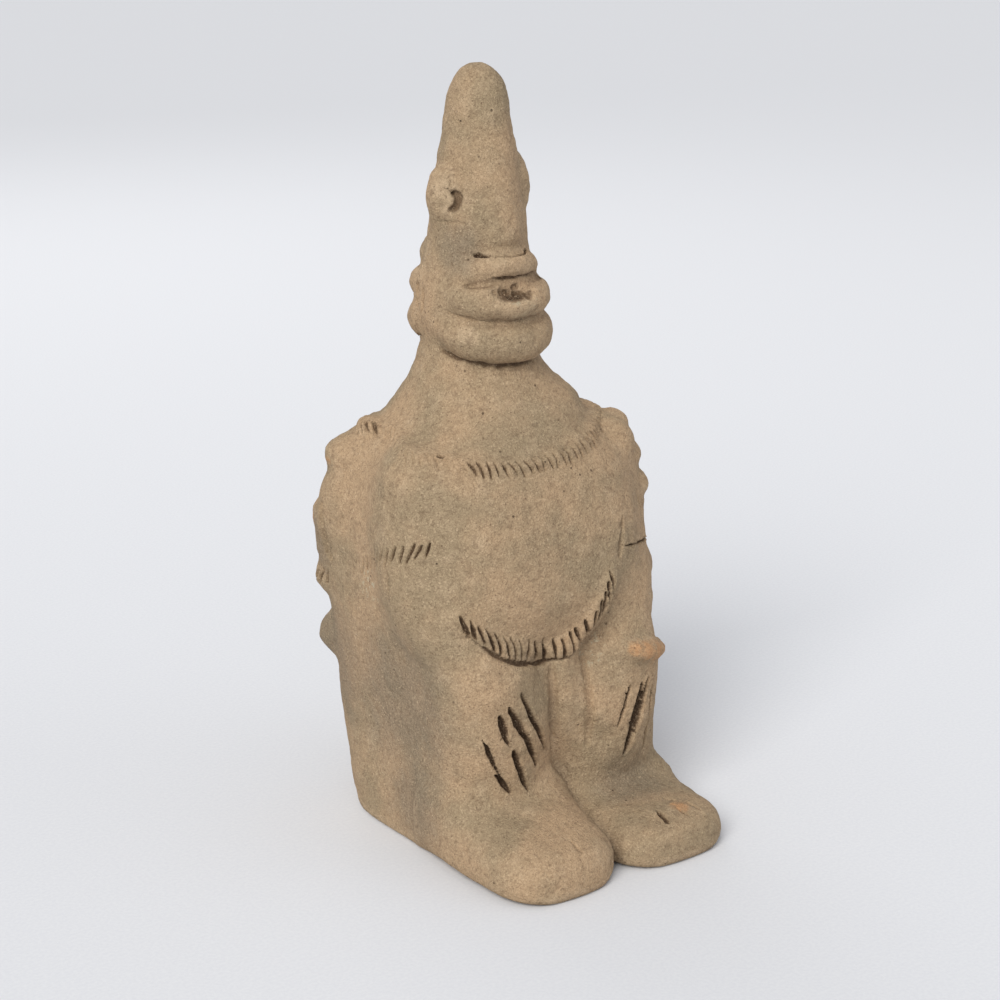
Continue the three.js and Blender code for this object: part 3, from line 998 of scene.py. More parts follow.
@dataclass
class Head:
    """The conical head with one schematic face in front and another behind."""

    base: float = 21.0
    height: float = 300.0
    blend: float = 3.2
    furrows: tuple[Span, ...] = ((-1.72, 206), (-1.95, 207.5))
    mouth: Point = (11.0, 6.4, 4.6)
    mouth_shift: float = -3.0
    mouth_height: float = 217.2
    mouth_reach: float = 30.5
    pits: int = 44
    pit_seed: int = 11

    def joins(self) -> list[Join]:
        """The cone, its two ears and the rolls of both faces."""
        profile = (
            (0.54, 1.04),
            (0.635, 1.03),
            (0.7, 1.0),
            (0.775, 0.94),
            (0.813, 0.88),
            (0.85, 0.79),
            (0.89, 0.71),
            (0.907, 0.66),
            (0.93, 0.61),
            (0.95, 0.57),
            (0.966, 0.52),
            (0.98, 0.44),
            (0.99, 0.345),
            (0.996, 0.23),
            (0.9995, 0.1),
        )
        rows = [(share * self.height, *[part * self.base] * 3, 2, 2, 0) for share, part in profile]
        made = [Join(Stack(rows, rim=1.0), 9.0)]
        made.append(Join(Ball((-16.6, -0.5, 251), (5.4, 7.5, 11.5)), self.blend))
        made.append(Join(Ball((15.4, -1.0, 252.5), (5.6, 8.5, 13)), self.blend))
        for facing in Facing:
            made += self.face(facing)
        return made

    def face(self, facing: Facing) -> list[Join]:
        """The muzzle, nose, lips and chin of one face."""
        lift, share = FACES[facing].lift, FACES[facing].share
        nose = [
            (*place(facing, 0, 6, 287), 5.0),
            (*place(facing, 0, 10, 262 + lift), 6.2),
            (*place(facing, 0, 14.5 * share, 238 + lift), 7.2),
        ]
        muzzle = 23.5 * share
        return [
            Join(Ball(place(facing, 0, 3, 208 + lift), (muzzle, muzzle, 24)), 5.0),
            Join(Roll(nose), 5.0),
            Join(self.arc(facing, (26.6, 22), 4.6, (226, 221.5), 0.98), 3.4),
            Join(self.arc(facing, (31, 27), 6.4, (211.4, 214.0), 1.12), 2.4),
            Join(self.arc(facing, (31.4, 27), 8.6, (196.6, 202), 1.35), 2.2),
        ]

    def arc(
        self,
        facing: Facing,
        reach: Span,
        thickness: float,
        height: Span,
        half_turn: float,
    ) -> Roll:
        """A roll of clay round the muzzle.

        Args:
            facing: Which face it belongs to.
            reach: Its outer radius from the head's axis in its middle and at its ends.
            thickness: Its radius as a roll.
            height: Its height in its middle and at its ends.
            half_turn: How far round the head each half goes, in radians.

        Returns:
            The roll, thinner at its ends.
        """
        sizes = FACES[facing]
        stations = []
        for share in (-1, -0.72, -0.38, 0, 0.38, 0.72, 1):
            turn, blend = share * half_turn, share * share
            radius = sizes.share * (reach[0] + (reach[1] - reach[0]) * blend) - thickness
            z = sizes.lift + height[0] + (height[1] - height[0]) * blend
            spot = place(facing, radius * math.sin(turn), radius * math.cos(turn), z)
            stations.append((*spot, thickness * (1 - 0.45 * blend * blend)))
        return Roll(stations)

    def hollows(self) -> list[Join]:
        """The open mouths with their pitted insides, and the torn holes of the ears."""
        tears = (
            [(-19.2, 5.8, 257.8, 0.7), (-16.4, 7.6, 258.8, 1.7), (-17.4, 7.4, 255.4, 0.8)],
            [
                (-18.0, 5.2, 253.4, 1.0),
                (-15.0, 8.4, 251.6, 1.7),
                (-15.8, 8.0, 247.6, 1.7),
                (-17.6, 6.8, 246.4, 0.9),
            ],
        )
        nicks = ((-18.8, 19.3, 199.2), (-17.6, 20.6, 200.4), (-19.6, 18.2, 200.6), (-16.9, 21.3, 198.9))
        half_wide, half_deep, half_high = self.mouth
        draw = np.random.default_rng(self.pit_seed)
        made = []
        for facing in Facing:
            height = self.mouth_height + FACES[facing].lift
            front = self.mouth_reach * FACES[facing].share
            made.append(Join(self.arc(facing, (26.6, 24.0), 0.9, (220.8, 217.2), 0.92), 1.2))
            made.append(Join(Ball(place(facing, self.mouth_shift, front, height), self.mouth), 2.0))
            for _ in range(self.pits):
                wide, high = draw.uniform(-0.85, 0.75), draw.uniform(-0.8, 0.85)
                floor = front - half_deep * math.sqrt(max(1 - wide**2 - high**2, 0.1))
                radius = draw.uniform(0.55, 1.3)
                x, f = half_wide * wide + self.mouth_shift, floor - draw.uniform(-0.5, 0.4)
                spot = place(facing, x, f, height + half_high * high)
                made.append(Join(Ball(spot, (radius, 1.4 * radius, radius)), 0.3))
            for torn in tears:
                stations = [(*place(facing, x, f, z), radius) for x, f, z, radius in torn]
                made.append(Join(Roll(stations), 0.5))
            for nick in nicks:
                made.append(Join(Ball(place(facing, *nick), (1.0, 1.0, 0.8)), 0.4))
        return made

    def strokes(self, clay: Clay) -> list[Strokes]:
        """The slit under each nose, the creases of the cheeks and the furrows between the faces."""
        slit = (229.6, (-0.6, 0.5), 9, 0.9, 0.9, 1.8, {"pinch": 0.1, "ragged": 0.15})
        hole = (229.7, (-0.68, -0.42), 3, 0.1, 2.1, 2.8, {"pinch": 0.4, "burr": 0.0})
        crease = (241.8, (-1.5, -0.85), 5, -0.6, 1.3, 0.5, {"soil": 0.5})
        # The runs under the upper lip, between the lower lip and the chin, and under the chin are grooves
        # darkened as painted shadow lines.
        inner = (221.0, (-0.4, 0.6), 7, 0.6, 1.3, 1.5, {"burr": 0.0, "ragged": 0.5})
        under_lip = (205.0, (-1.1, 0.9), 13, 3.4, 1.4, 0.9, {"soil": 0.9, "burr": 0.0, "ragged": 0.3})
        under_chin = (187.6, (-1.3, 1.1), 13, 5.0, 2.6, 1.4, {"burr": 0.0, "ragged": 0.6})
        rings = (slit, hole, crease, inner, under_lip, under_chin)
        made = []
        for facing in Facing:
            for z, turns, count, lift, width, depth, looks in rings:
                run = self.ring(clay, facing, z + FACES[facing].lift, turns, count, lift)
                made.append(Strokes.along(run, width, depth, **looks))
        for turn, low in self.furrows:
            for side in (-1, 1):
                height = np.linspace(low, low + 9, 4)
                run = seen_round(clay, np.full(4, side * turn), height, ROUND_HEAD)
                made.append(Strokes.along(run, 2.6, 1.3, soil=0.7, ragged=0.4))
        return made

    @staticmethod
    def ring(clay: Clay, facing: Facing, z: float, turns: Span, count: int, lift: float) -> Array:
        """Points on the clay of a run round the head.

        Args:
            clay: What the run lies on.
            facing: Which face it belongs to.
            z: The height of its middle.
            turns: Where it starts and ends round the axis.
            count: How many points it has.
            lift: How much its ends rise.

        Returns:
            The points.
        """
        turn = np.linspace(*turns, count)
        share = np.linspace(-1, 1, count)
        return seen_round(clay, turn, z + lift * share**2, ROUND_HEAD, facing.value)


@dataclass
class Arms:
    """The arms of both figures, with shoulder knobs, bracelets and the slots between the fingers."""

    left_spread: float = 4.0
    blend: float = 7.0
    slot_width: float = 2.7
    slot_depth: float = 4.0

    def joins(self) -> list[Join]:
        """The arms of both figures."""
        made = []
        for hand in Hand:
            side = hand.value
            upper = side * (39 + (self.left_spread if hand is Hand.LEFT else 0.0))
            front = [
                (upper, -18, 143, 18),
                (upper + side * 1.5, -20, 126, 18.5),
                (side * 41, -26, 107, 19.5),
                (side * 38, -37, 90, 17.6),
                (side * 33, -44, 76, 14.0),
            ]
            made.append(Join(Roll(front), self.blend))
            rear = [
                (side * 38, 20, 145, 14.5),
                (side * 42, 25, 124, 16),
                (side * 38, 34, 106, 14.5),
                (side * 30, 41, 97, 12),
            ]
            made.append(Join(Roll(rear), 5.0))
            made.append(Join(Ball((side * 48, 37.5, 120), (6, 6.5, 8.5)), 2.5))
            made.append(Join(Ball((side * 45, 39.5, 93.8), (7, 7.5, 7)), 4.0))
        return made

    def hands(self) -> list[Join]:
        """The hands on the shins and the bracelets above them."""
        worn = [(-46, -46, 66, 4), (-40, -53, 68, 5), (-30, -56.5, 71, 5), (-19, -54, 74, 3.6)]
        clear = [(54.6, -46, 67.6, 2.8), (45, -57.4, 70.5, 4.2), (33, -61.8, 74.5, 4.4), (22, -57, 78, 3)]
        bracelets = {Hand.RIGHT: Join(Roll(worn), 5.0), Hand.LEFT: Join(Roll(clear), 2.0)}
        made = []
        for hand in Hand:
            side = hand.value
            palm = [(side * 34, -46, 72, 15), (side * 32, -47, 54, 15.5), (side * 28, -50, 36, 12)]
            thumb = [(side * 26, -49, 70, 9.5), (side * 19, -51, 52, 9)]
            made += [Join(Roll(palm), 8.0), Join(Roll(thumb), 9.0)]
            made.append(bracelets[hand])
        return made

    def knobs(self) -> list[Join]:
        """The lumps of the left shoulder, beside the collar's end."""
        out = self.left_spread
        return [
            Join(Ball((42 + out, -26, 151), (9, 10, 9)), 4.0),
            Join(Ball((47.8 + out, -20, 156.6), (6, 8, 4.5)), 2.0),
            Join(Ball((51.6 + out, -24, 143.5), (5.5, 8, 5.0)), 2.4),
            Join(Ball((55.0 + out, -25, 131.0), (5.5, 8, 5.6)), 2.0),
            Join(Ball((51.8 + out, -31, 98.5), (7, 8.5, 8.5)), 4.0),
        ]

    def strokes(self, clay: Clay) -> list[Strokes]:
        """The slots between the fingers, and the cracks and folds of the arms."""
        right = (
            ((-24.6, 69.8), (-10.4, 41.6), 1.2),
            ((-30.4, 65.0), (-14.8, 37.0), 1.25),
            ((-34.8, 62.6), (-31.0, 50.6), 1.15),
            ((-28.8, 47.0), (-21.4, 29.4), 1.25),
            ((-41.8, 54.4), (-34.4, 37.4), 0.55),
            ((-36.0, 38.6), (-29.8, 30.1), 0.7),
        )
        left = (
            ((28.6, 61.5), (22.4, 44.7), 0.8),
            ((35.2, 59.5), (26.4, 32.0), 1.5),
            ((38.6, 61), (31.5, 40), 0.9),
            ((42.2, 57.2), (38.2, 30.6), 0.5),
        )
        slot = {"pinch": 0.72, "steepness": 3.0, "ragged": 0.35}
        strip = {"pinch": 0.1, "steepness": 6.0, "soil": 0.35}
        rough = {"ragged": 0.3}
        rows = []
        for top, bottom, share in right + left:
            width, depth = self.slot_width * share, self.slot_depth * share**0.5
            rows.append((Facing.FRONT, top, bottom, 7, width, depth, slot))
        for x in (22, 27, 32, 37):
            for side in (-1, 1):
                rows.append((Facing.BACK, (side * x, 104), (side * (x - 5), 89), 3, 2.2, 2.0, rough))
        rows.append((Facing.FRONT, (31, 116.5), (57, 110.5), 9, 0.8, 2.2, {"pinch": 0.3, "burr": 0.2}))
        rows.append((Facing.FRONT, (31, 128), (27, 113), 5, 3.0, 1.1, {"soil": 0.8, "ragged": 0.5}))
        rows.append((Hand.RIGHT, (25.6, 116), (26.4, 106.5), 4, 0.7, 1.4, {}))
        for hand in Hand:
            for f, z in ((-41, 95), (-36, 97), (-31, 98)):
                rows.append((hand, (f + 1.5, z + 2.0), (f - 3.0, z - 5.5), 3, 1.8, 1.9, rough))
            rows.append((hand, (-27, 128), (-25.5, 107), 7, 4.6, 1.6, strip))
            rows.append((hand, (-33.5, 129), (-32, 113), 5, 1.4, 1.5, rough))
        return marks(clay, rows)


def seen(clay: Clay, side: Facing | Hand | None, across: Array, along: Array) -> Array:
    """Points of the clay as seen from one side or, with no side, from above.

    Args:
        clay: What the points lie on.
        side: A figure that is looked at from before it, a flank, or nothing.
        across: x, or f on a flank.
        along: z, or f from above.

    Returns:
        The points.
    """
    if side is None:
        out = np.column_stack([across, -along, np.full(len(across), ABOVE_FEET)])
        return clay.first_hit(out, out * (1, 1, 0) + (0, 0, 1))
    away = np.full(len(across), side.value * OUTSIDE)
    if isinstance(side, Facing):
        out = np.column_stack([side.value * across, -away, along])
        return clay.first_hit(out, out * (1, 0, 1))
    out = np.column_stack([away, -across, along])
    return clay.first_hit(out, out * (0, 1, 1))


def drawn(clay: Clay, side: Facing | Hand | None, first: Span, last: Span, count: int) -> Array:
    """Points on the clay along a straight line drawn as seen from one side or from above.

    Args:
        clay: What the line lies on.
        side: The side, as in seen.
        first: Where the line starts.
        last: Where it ends.
        count: How many points it has.

    Returns:
        The points.
    """
    share = np.linspace(0, 1, count)[:, None]
    spots = np.array(first) * (1 - share) + np.array(last) * share
    return seen(clay, side, spots[:, 0], spots[:, 1])


def marks(clay: Clay, rows: Iterable[tuple[Any, ...]]) -> list[Strokes]:
    """Long marks along straight lines.

    Args:
        clay: What they lie on.
        rows: For each, the side, first, last and count of drawn, its width, its depth and its looks.

    Returns:
        The marks.
    """
    made = []
    for side, first, last, count, width, depth, looks in rows:
        made.append(Strokes.along(drawn(clay, side, first, last, count), width, depth, **looks))
    return made


def seen_round(clay: Clay, turn: Array, height: Array, reach: float, sign: int = 1) -> Array:
    """Points of the clay at turns round the head's axis.

    Args:
        clay: What the points lie on.
        turn: The turns, in radians from the front.
        height: The heights.
        reach: How far out each look starts.
        sign: 1 for the front figure, -1 for the rear one.

    Returns:
        The points.
    """
    out = np.column_stack([sign * reach * np.sin(turn), -sign * reach * np.cos(turn), height])
    return clay.first_hit(out, out * (0, 0, 1))


@dataclass
class Legs:
    """The front figure's shins and feet, and the flap of its belt between them."""

    shin_spread: float = 25.4
    foot_spread: float = 26.0
    left_widening: float = 2.6

    def joins(self) -> list[Join]:
        """The shins, the feet and the flap."""
        made = []
        shin = (
            (-6, 23.2, 20, 22),
            (4, 24.5, 22, 22),
            (20, 24.8, 23, 22),
            (44, 24.8, 23, 22),
            (62, 25, 22, 22),
            (76, 23.5, 17, 22),
            (86, 16, 8, 18),
        )
        sections = (
            (30, 28.2, 38, 34),
            (55, 28.8, 36, 25.0),
            (61, 28.5, 29.5, 20.2),
            (69, 27.6, 25, 18.0),
            (81, 26.6, 21.5, 17.6),
            (90, 24.4, 19, 16.8),
            (96, 20, 16.5, 15.5),
            (99.6, 14, 13.5, 13.5),
            (101.4, 6, 10, 10),
        )
        for hand in Hand:
            side = hand.value
            widening = self.left_widening / 2 if hand is Hand.LEFT else 0.0
            rows = [(z, wide + widening, front, back, 3, 3, 37) for z, wide, front, back in shin]
            middle = side * (self.shin_spread + widening)
            made.append(Join(Stack(rows, middle=middle, rim=4), 6.0))
            loaf = []
            for f, wide, *tops in sections:
                top = tops[hand is Hand.LEFT]
                loaf.append((f, wide + widening, 0.64 * top, 0.36 * top, 2.7, 4.5, 0.36 * top))
            middle = side * (self.foot_spread + widening)
            made.append(Join(Stack(loaf, middle=middle, lying=True, rim=2.5), 3.5))
        flap = [(2.4, -50.5, 80, 6.4), (3.0, -51.5, 60, 6.6), (3.0, -51.0, 46, 5.8), (3.0, -48.0, 35, 3.6)]
        made.append(Join(Roll(flap), 5.0))
        return made

    def hollows(self) -> list[Join]:
        """Small knocks in the left foot."""
        return [
            Join(Ball((23.5, -66.5, 27), (2.0, 4.0, 1.4)), 1.0),
            Join(Ball((39.0, -99.0, 17.0), (2.4, 5.0, 3.0)), 1.2),
        ]

    def strokes(self, clay: Clay) -> list[Strokes]:
        """The soft grooves beside the flap and the marks of the toes."""
        groove = {"soil": 0.6, "ragged": 0.6, "burr": 0.0, "steepness": 2.0}
        toe = {"pinch": 0.7, "ragged": 0.3}
        rows = [(Facing.FRONT, (x, 77), (x, 38), 7, 4.6, 1.3, groove) for x in (-4.4, 10.8)]
        for first, last, width, depth in (
            ((23.6, 86.5), (22.4, 95), 2.0, 2.4),
            ((32.4, 79.5), (35.6, 84), 1.6, 1.3),
            ((31.6, 89.0), (32.6, 95.5), 1.6, 1.0),
            ((38.5, 86.0), (40.0, 94), 1.8, 1.1),
            ((-22.0, 90.0), (-21.6, 96.5), 1.5, 0.7),
        ):
            rows.append((None, first, last, 4, width, depth, toe))
        return marks(clay, rows)


@dataclass(frozen=True)
class RowSizes:
    """One row of strokes: its path and how its strokes are made."""

    name: str
    path: Array
    closed: bool
    count: int
    length: float
    lean: float
    width: float
    depth: float
    pinch: float


@dataclass
class Ornaments:
    """The notched collar and belt, the notches of the armlets and the small hole by the collar."""

    collar_height: float = 153.5
    collar_rise: float = 8.5
    collar_turn: float = -0.2
    collar_notches: int = 94
    belt_low: float = 81.0
    belt_right_rise: float = 18.5
    belt_left_rise: float = 24.0
    belt_right_reach: float = 42.5
    belt_left_reach: float = 23.5
    belt_shift: float = -3.0
    belt_notches: int = 21
    belt_fold: float = 5.6
    armlet_reach: float = 39.0
    armlet_notches: int = 13
    astray: float = 0.15
    worn_from: Span = (-31.0, 6.0)
    worn_share: float = 0.35
    hole: Point = (-39.7, -30.4, 157.2)

    def collar_path(self, clay: Clay, count: int = 60) -> Array:
        """The collar's ring on the clay, low at the two faces and high at the shoulders."""
        turn = np.arange(count) * 2 * math.pi / count
        height = self.collar_height + self.collar_rise * np.sin(turn - self.collar_turn) ** 2
        return seen_round(clay, turn, height, ROUND_COLLAR)

    def belt_path(self, clay: Clay, count: int = 23) -> Array:
        """The belt's line on the clay, which sags below the belly."""
        x = self.belt_shift + np.linspace(-self.belt_right_reach, self.belt_left_reach, count)
        right = np.clip(self.belt_shift - x, 0, None) / self.belt_right_reach
        left = np.clip(x - self.belt_shift, 0, None) / self.belt_left_reach
        height = self.belt_low + self.belt_right_rise * right**1.8 + self.belt_left_rise * left**2.5
        return seen(clay, Facing.FRONT, x, height)

    def joins(self, clay: Clay) -> list[Join]:
        """The two ridges, laid on the bare clay."""
        ridges = []
        for path, radius, sunk, closed in (
            (self.collar_path(clay), 3.2, 1.5, True),
            (self.belt_path(clay), 5.0, 2.0, False),
        ):
            normal = unit(clay.slope(path)[1])
            centres = path - sunk * normal
            stations = [(*centre, radius) for centre in centres]
            ridges.append(Join(Roll(stations, closed=closed, steps=2), 3.0 if closed else 2.0))
        return ridges

    def strokes(self, clay: Clay, row: StrokeRow, material: bpy.types.Material) -> list[Strokes]:
        """The notches, laid along the ridges and across the upper arms.

        Args:
            clay: The clay with its ridges.
            row: The recipe that lays strokes along a path.
            material: The clay's material.

        Returns:
            The strokes of every row.
        """
        collar, belt = self.collar_path(clay), self.belt_path(clay)
        rows = [
            RowSizes("collar", collar, True, self.collar_notches, 7.2, -0.4, 1.2, 1.5, 0.6),
            RowSizes("belt", belt, False, self.belt_notches, 9.6, -0.22, 1.9, 2.3, 0.5),
        ]
        for hand in Hand:
            share = np.linspace(0, 1, 9)
            armlet = seen(clay, hand, self.armlet_reach * share, 110.0 + 16 * share**0.8)
            name = f"armlet_{hand.name.lower()}"
            rows.append(RowSizes(name, armlet, False, self.armlet_notches, 6.8, 0.3, 1.25, 1.7, 0.5))
        made = []
        for index, sizes in enumerate(rows):
            across = upright(clay, sizes.path)
            values = {
                "Count": sizes.count,
                "Length": sizes.length * MM,
                "Lean": sizes.lean,
                "Astray": self.astray,
                "Seed": 10 * index + 4,
            }
            ends = row.lay(sizes.name, sizes.path, across, sizes.closed, material, values)
            worn = sizes.closed & (ends[0][:, :2] < self.worn_from).all(axis=1)
            for picked, share in ((~worn, 1.0), (worn, self.worn_share)):
                if picked.any():
                    kept, depth = (ends[0][picked], ends[1][picked]), share * sizes.depth
                    made.append(Strokes.laid(clay, kept, sizes.width, depth, pinch=sizes.pinch))
        hole = clay.settle(np.array([self.hole, np.add(self.hole, (0.8, -0.4, -1.0))]), 5)
        made.append(Strokes.along(hole, 2.0, 2.6, pinch=0.2, burr=0.0))
        # A groove under the belt's lower edge, darkened at full strength as a painted shadow line.
        fold = belt - self.belt_fold * upright(clay, belt)
        made.append(Strokes.along(clay.settle(fold), 2.6, 1.7, pinch=0.8, burr=0.0, ragged=0.5))
        return made


def unit(vectors: Array) -> Array:
    """Vectors at a length of one."""
    return vectors / (np.linalg.norm(vectors, axis=1, keepdims=True) + TINY)


def upright(clay: Clay, path: Array) -> Array:
    """The direction straight up the surface at each point of a path."""
    normal = unit(clay.slope(path)[1])
    return unit(np.array([0.0, 0.0, 1.0]) - normal[:, 2:] * normal)


OCHRE_SPOTS = (
    (55, -47, 68, 9),
    (49, -58, 70, 9),
    (43, -63, 72, 10),
    (36, -66, 75, 10),
    (30, -66, 77, 8),
    (34, -88, 17, 8),
    (-53, 41, 120, 6),
    (-53, 26, 147, 5),
    (-26, -57, 75, 7),
)
SOOT_SPOTS = (
    (-54, -20, 58, 46),
    (-52, 34, 60, 40),
    (-50, 38, 112, 20),
    (28, -62, 16, 24),
    # The spot on the front face's right cheek is partly soot and partly painted shade.
    (-19, -12, 232, 15),
    (-54, -30, 20, 30),
)
LIME_SPOTS = ((5, -32, 209, 6), (-3, -27, 215, 6), (16, -54, 76, 8), (-54, -5, 104, 10))


@dataclass
class Figure:
    """The whole figure, one solid piece of fired clay."""

    trunk: Trunk = field(default_factory=Trunk)
    head: Head = field(default_factory=Head)
    arms: Arms = field(default_factory=Arms)
    legs: Legs = field(default_factory=Legs)
    ornaments: Ornaments = field(default_factory=Ornaments)
    finish: FiredClay = field(default_factory=FiredClay)
    grid: float = 2.0
    fine: float = 0.5
    slack: float = 1.3
    head_from: float = 192.0
    head_edge: float = 1.1
    margin: float = 1.6
    spare: float = 0.6
    shade_reaches: Span = (3.0, 8.0)
    full_soil: float = 1.6
    full_hollow: float = 3.6
    most_cut: float = 1.3
    clay: Clay = field(default_factory=Clay)

    def model(self, material: bpy.types.Material) -> None:
        """Joins the forms and draws the strokes."""
        clay = self.clay
        clay.joins += self.trunk.joins() + self.arms.joins() + self.legs.joins() + self.head.joins()
        clay.joins += self.ornaments.joins(clay)
        clay.joins += self.arms.hands()
        clay.strokes += self.ornaments.strokes(clay, StrokeRow(), material)
        clay.joins += self.arms.knobs()
        clay.strokes += self.head.strokes(clay) + self.arms.strokes(clay) + self.legs.strokes(clay)
        clay.hollows += self.head.hollows() + self.legs.hollows()

    def build(self) -> bpy.types.Object:
        """Makes the figure's mesh and dresses it.

        Returns:
            The finished object.
        """
        material = self.finish.material()
        self.model(material)
        log.info("clay: %d forms, %d rows of strokes", len(self.clay.joins), len(self.clay.strokes))
        mesh = self.skin()
        for _ in range(2):
            self.refine(mesh)
        points = self.clay.settle(points_of(mesh), 2)
        normals = unit(self.clay.slope(points)[1])
        depth, soil = self.clay.press(points)
        self.record(mesh, points, normals, soil)
        self.move(mesh, points - depth[:, None] * normals)
        made = WeatheredSkin().apply("figure_clay", mesh, {"Material": material})
        made.shade_smooth()
        return shown("figure_clay", made)

    def skin(self) -> bpy.types.Mesh:
        """The clay's surface as an even mesh, in millimetres."""
        boxes = [join.form.box() for join in self.clay.joins]
        low = np.min([box[0] for box in boxes], axis=0) - 2 * self.grid
        high = np.max([box[1] for box in boxes], axis=0) + 2 * self.grid
        low[2] = -2 * self.grid
        steps = [np.arange(a, b, self.grid) for a, b in zip(low, high)]
        slabs = []
        for z in steps[2]:
            spots = np.stack(np.meshgrid(steps[0], steps[1], [z], indexing="ij"), axis=-1)
            slabs.append(self.clay.body(spots.reshape(-1, 3)).reshape(len(steps[0]), len(steps[1])))
        volume = openvdb.FloatGrid(FAR)
        volume.copyFromArray(np.stack(slabs, axis=2).astype(np.float32))
        points, quads = volume.convertToQuads(isovalue=0)
        mesh = bpy.data.meshes.new("skin")
        mesh.from_pydata(self.clay.settle(points * self.grid + low, 2).tolist(), [], quads[:, ::-1].tolist())
        return mesh

    def refine(self, mesh: bpy.types.Mesh) -> None:
        """Splits the edges that are too long for the detail near them, and settles the new points."""
        points = points_of(mesh)
        ends = np.zeros(len(mesh.edges) * 2, np.int32)
        mesh.edges.foreach_get("vertices", ends)
        ends = ends.reshape(-1, 2)
        middle = points[ends].mean(axis=1)
        length = np.linalg.norm(points[ends[:, 0]] - points[ends[:, 1]], axis=1)
        split = length > self.slack * self.wanted(middle)
        work = bmesh.new()
        work.from_mesh(mesh)
        work.edges.ensure_lookup_table()
        edges = [work.edges[index] for index in np.flatnonzero(split)]
        bmesh.ops.subdivide_edges(work, edges=edges, cuts=1, use_grid_fill=True)
        bmesh.ops.triangulate(work, faces=[face for face in work.faces if len(face.verts) > 4])
        work.to_mesh(mesh)
        work.free()
        self.put(mesh, self.clay.settle(points_of(mesh), 2))

    def wanted(self, points: Array) -> Array:
        """The length of edge that the detail near each point asks for."""
        length = np.where(points[:, 2] > self.head_from, self.head_edge, 2 * self.grid)
        for row in self.clay.strokes:
            reach = row.width / 2 + self.margin
            gap, _ = row.away(points, reach)
            length[gap < reach - self.spare] = self.fine
        for hollow in self.clay.hollows:
            picked = np.flatnonzero(hollow.form.near(points, 2.0))
            rim = np.abs(hollow.form.distance(points[picked])) < self.margin
            length[picked[rim]] = 1.1 * self.fine
        return length

    def record(self, mesh: bpy.types.Mesh, points: Array, normals: Array, soil: Array) -> None:
        """Keeps what the finish needs to know at each point of the mesh.

        Args:
            mesh: The skin.
            points: Its points, in millimetres.
            normals: The clay's own normals there.
            soil: How deep the dirt and painted shade lie in the strokes there.
        """
        clay = self.clay
        # hollow drives painted shade: it grows where the clay closes round a point.
        hollow = np.zeros(len(points))
        crest = np.zeros(len(points))
        for reach in self.shade_reaches:
            hollow += 0.5 * np.clip(1 - clay.body(points + reach * normals) / reach, 0, 1)
            crest += 0.5 * np.clip(1 + clay.body(points - reach * normals) / reach, 0, 1)
        # cut is partly dirt and partly painted shade. It grows deeper in the strokes and below the joined
        # surface in the hollows.
        filled = np.maximum(soil / self.full_soil, -clay.whole(points) / self.full_hollow)
        fields = {
            "hollow": hollow,
            "crest": crest,
            "cut": np.clip(filled, 0, self.most_cut),
            "ochre": self.near_spots(points, OCHRE_SPOTS),
            "soot": self.near_spots(points, SOOT_SPOTS),
            "lime": self.near_spots(points, LIME_SPOTS),
        }
        for name, values in fields.items():
            kept = mesh.attributes.new(name, "FLOAT", "POINT")
            kept.data.foreach_set("value", values.astype(np.float32))

    @staticmethod
    def near_spots(points: Array, spots: Iterable[tuple[float, float, float, float]]) -> Array:
        """How near each point is to one of some round spots, from 0 at the rim to 1."""
        value = np.zeros(len(points))
        for x, y, z, radius in spots:
            gap = np.linalg.norm(points - (x, y, z), axis=1) / radius
            value = np.maximum(value, np.clip(1 - gap, 0, 1))
        return value

    @staticmethod
    def put(mesh: bpy.types.Mesh, points: Array) -> None:
        """Gives a mesh its points."""
        mesh.vertices.foreach_set("co", points.astype(np.float32).ravel())
        mesh.update()

    def move(self, mesh: bpy.types.Mesh, points: Array) -> None:
        """Gives a mesh its points in metres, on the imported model's own axis."""
        self.put(mesh, points * MM + head_axis())


def points_of(mesh: bpy.types.Mesh) -> Array:
    """A mesh's points."""
    points = np.zeros(len(mesh.vertices) * 3)
    mesh.vertices.foreach_get("co", points)
    return points.reshape(-1, 3)


def head_axis() -> Array:
    """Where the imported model's head has its axis, on the ground, in metres."""
    points = points_of(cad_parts["figure"].data)
    return points[points[:, 2].argmax()] * (1, 1, 0)


def aim(piece: bpy.types.Object, look: Vector) -> None:
    """Turns a camera or a light to look one way."""
    piece.rotation_mode = "QUATERNION"
    piece.rotation_quaternion = look.to_track_quat("-Z", "Y")


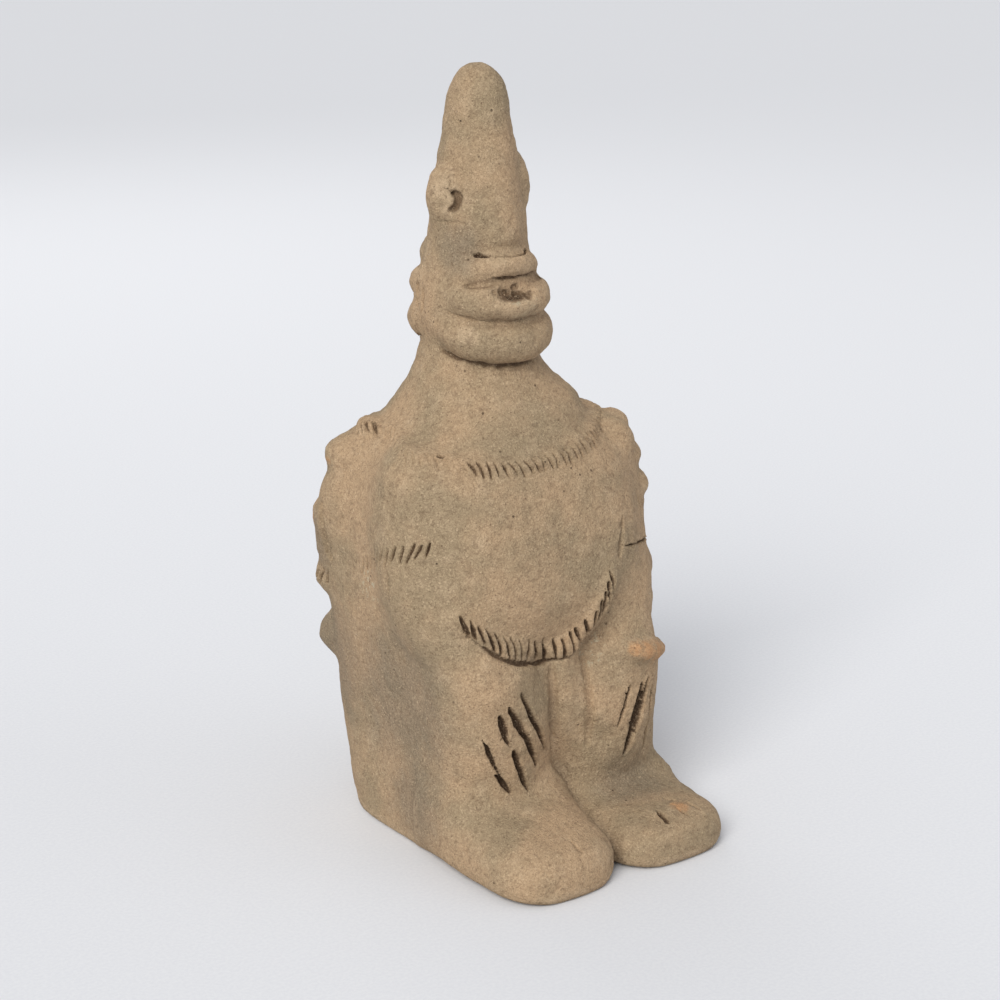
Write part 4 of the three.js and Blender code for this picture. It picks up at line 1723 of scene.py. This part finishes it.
@dataclass
class Studio:
    """A plain pale floor, soft light and the camera of the picture."""

    spot: Point = (-463.3, -652.3, 370.0)
    azimuth: float = 36.0
    pitch: float = 16.9
    lens: float = 74.95
    sensor: float = 36.0
    far: float = 100.0
    floor_size: float = 40.0
    middle: Point = (0.0, 0.0, 0.12)
    key_angle: float = 0.6
    air: tuple[float, float, float, float] = (0.93, 0.95, 1.0, 1.0)
    air_glow: float = 0.55
    paper: StudioPaper = field(default_factory=StudioPaper)

    def camera(self) -> bpy.types.Object:
        """Sets up the camera.

        Returns:
            The camera's object.
        """
        data = bpy.data.cameras.new("camera")
        data.lens = self.lens
        data.sensor_width = self.sensor
        data.clip_end = self.far
        made = shown("camera", data)
        made.location = Vector(self.spot) * MM + Vector(head_axis())
        turn, down = math.radians(self.azimuth), math.radians(self.pitch)
        look = Vector((math.sin(turn) * math.cos(down), math.cos(turn) * math.cos(down), -math.sin(down)))
        aim(made, look)
        bpy.context.scene.camera = made
        return made

    def floor(self) -> bpy.types.Object:
        """Lays the floor.

        Returns:
            The floor's object.
        """
        half = self.floor_size / 2
        mesh = bpy.data.meshes.new("studio_floor")
        corners = [(-half, -half, 0), (half, -half, 0), (half, half, 0), (-half, half, 0)]
        mesh.from_pydata(corners, [], [(0, 1, 2, 3)])
        mesh.materials.append(self.paper.material())
        made = shown("studio_floor", mesh)
        return made

    def light(self, name: str, spot: Point, size: float, power: float, tint: Point) -> None:
        """Hangs one soft light that points at the figure.

        Args:
            name: Its name.
            spot: Where it hangs, in metres.
            size: The side of its square face in metres, or 0 for one as wide as the sky.
            power: Its power in watts, or in watts on each square metre for the wide one.
            tint: Its colour.
        """
        data = bpy.data.lights.new(name, "AREA" if size else "SUN")
        if size:
            data.shape = "SQUARE"
            data.size = size
        else:
            data.angle = self.key_angle
        data.energy = power
        data.color = tint
        made = shown(name, data)
        made.location = spot
        aim(made, Vector(self.middle) - Vector(spot))

    def lights(self) -> None:
        """Hangs the lights and sets the air's own glow."""
        self.light("key", (-1.5, -0.95, 1.5), 0, 2.5, (1.0, 0.985, 0.96))
        self.light("fill", (1.2, -1.2, 0.75), 1.2, 3, (0.97, 0.985, 1.0))
        self.light("back", (0.3, 1.5, 1.3), 1.0, 5, (1.0, 1.0, 1.0))
        world = bpy.data.worlds.new("air")
        world.use_nodes = True
        glow = world.node_tree.nodes["Background"]
        glow.inputs["Color"].default_value = self.air
        glow.inputs["Strength"].default_value = self.air_glow
        bpy.context.scene.world = world
        bpy.context.scene.view_settings.view_transform = "Standard"


def main() -> None:
    """Builds the figure and the studio."""
    piece = Figure().build()
    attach(piece, "root")
    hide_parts("figure")
    log.info("%s: %d triangles", piece.name, sum(len(face.vertices) - 2 for face in piece.data.polygons))
    studio = Studio()
    studio.floor()
    studio.lights()
    studio.camera()


if __name__ == "__main__":
    main()
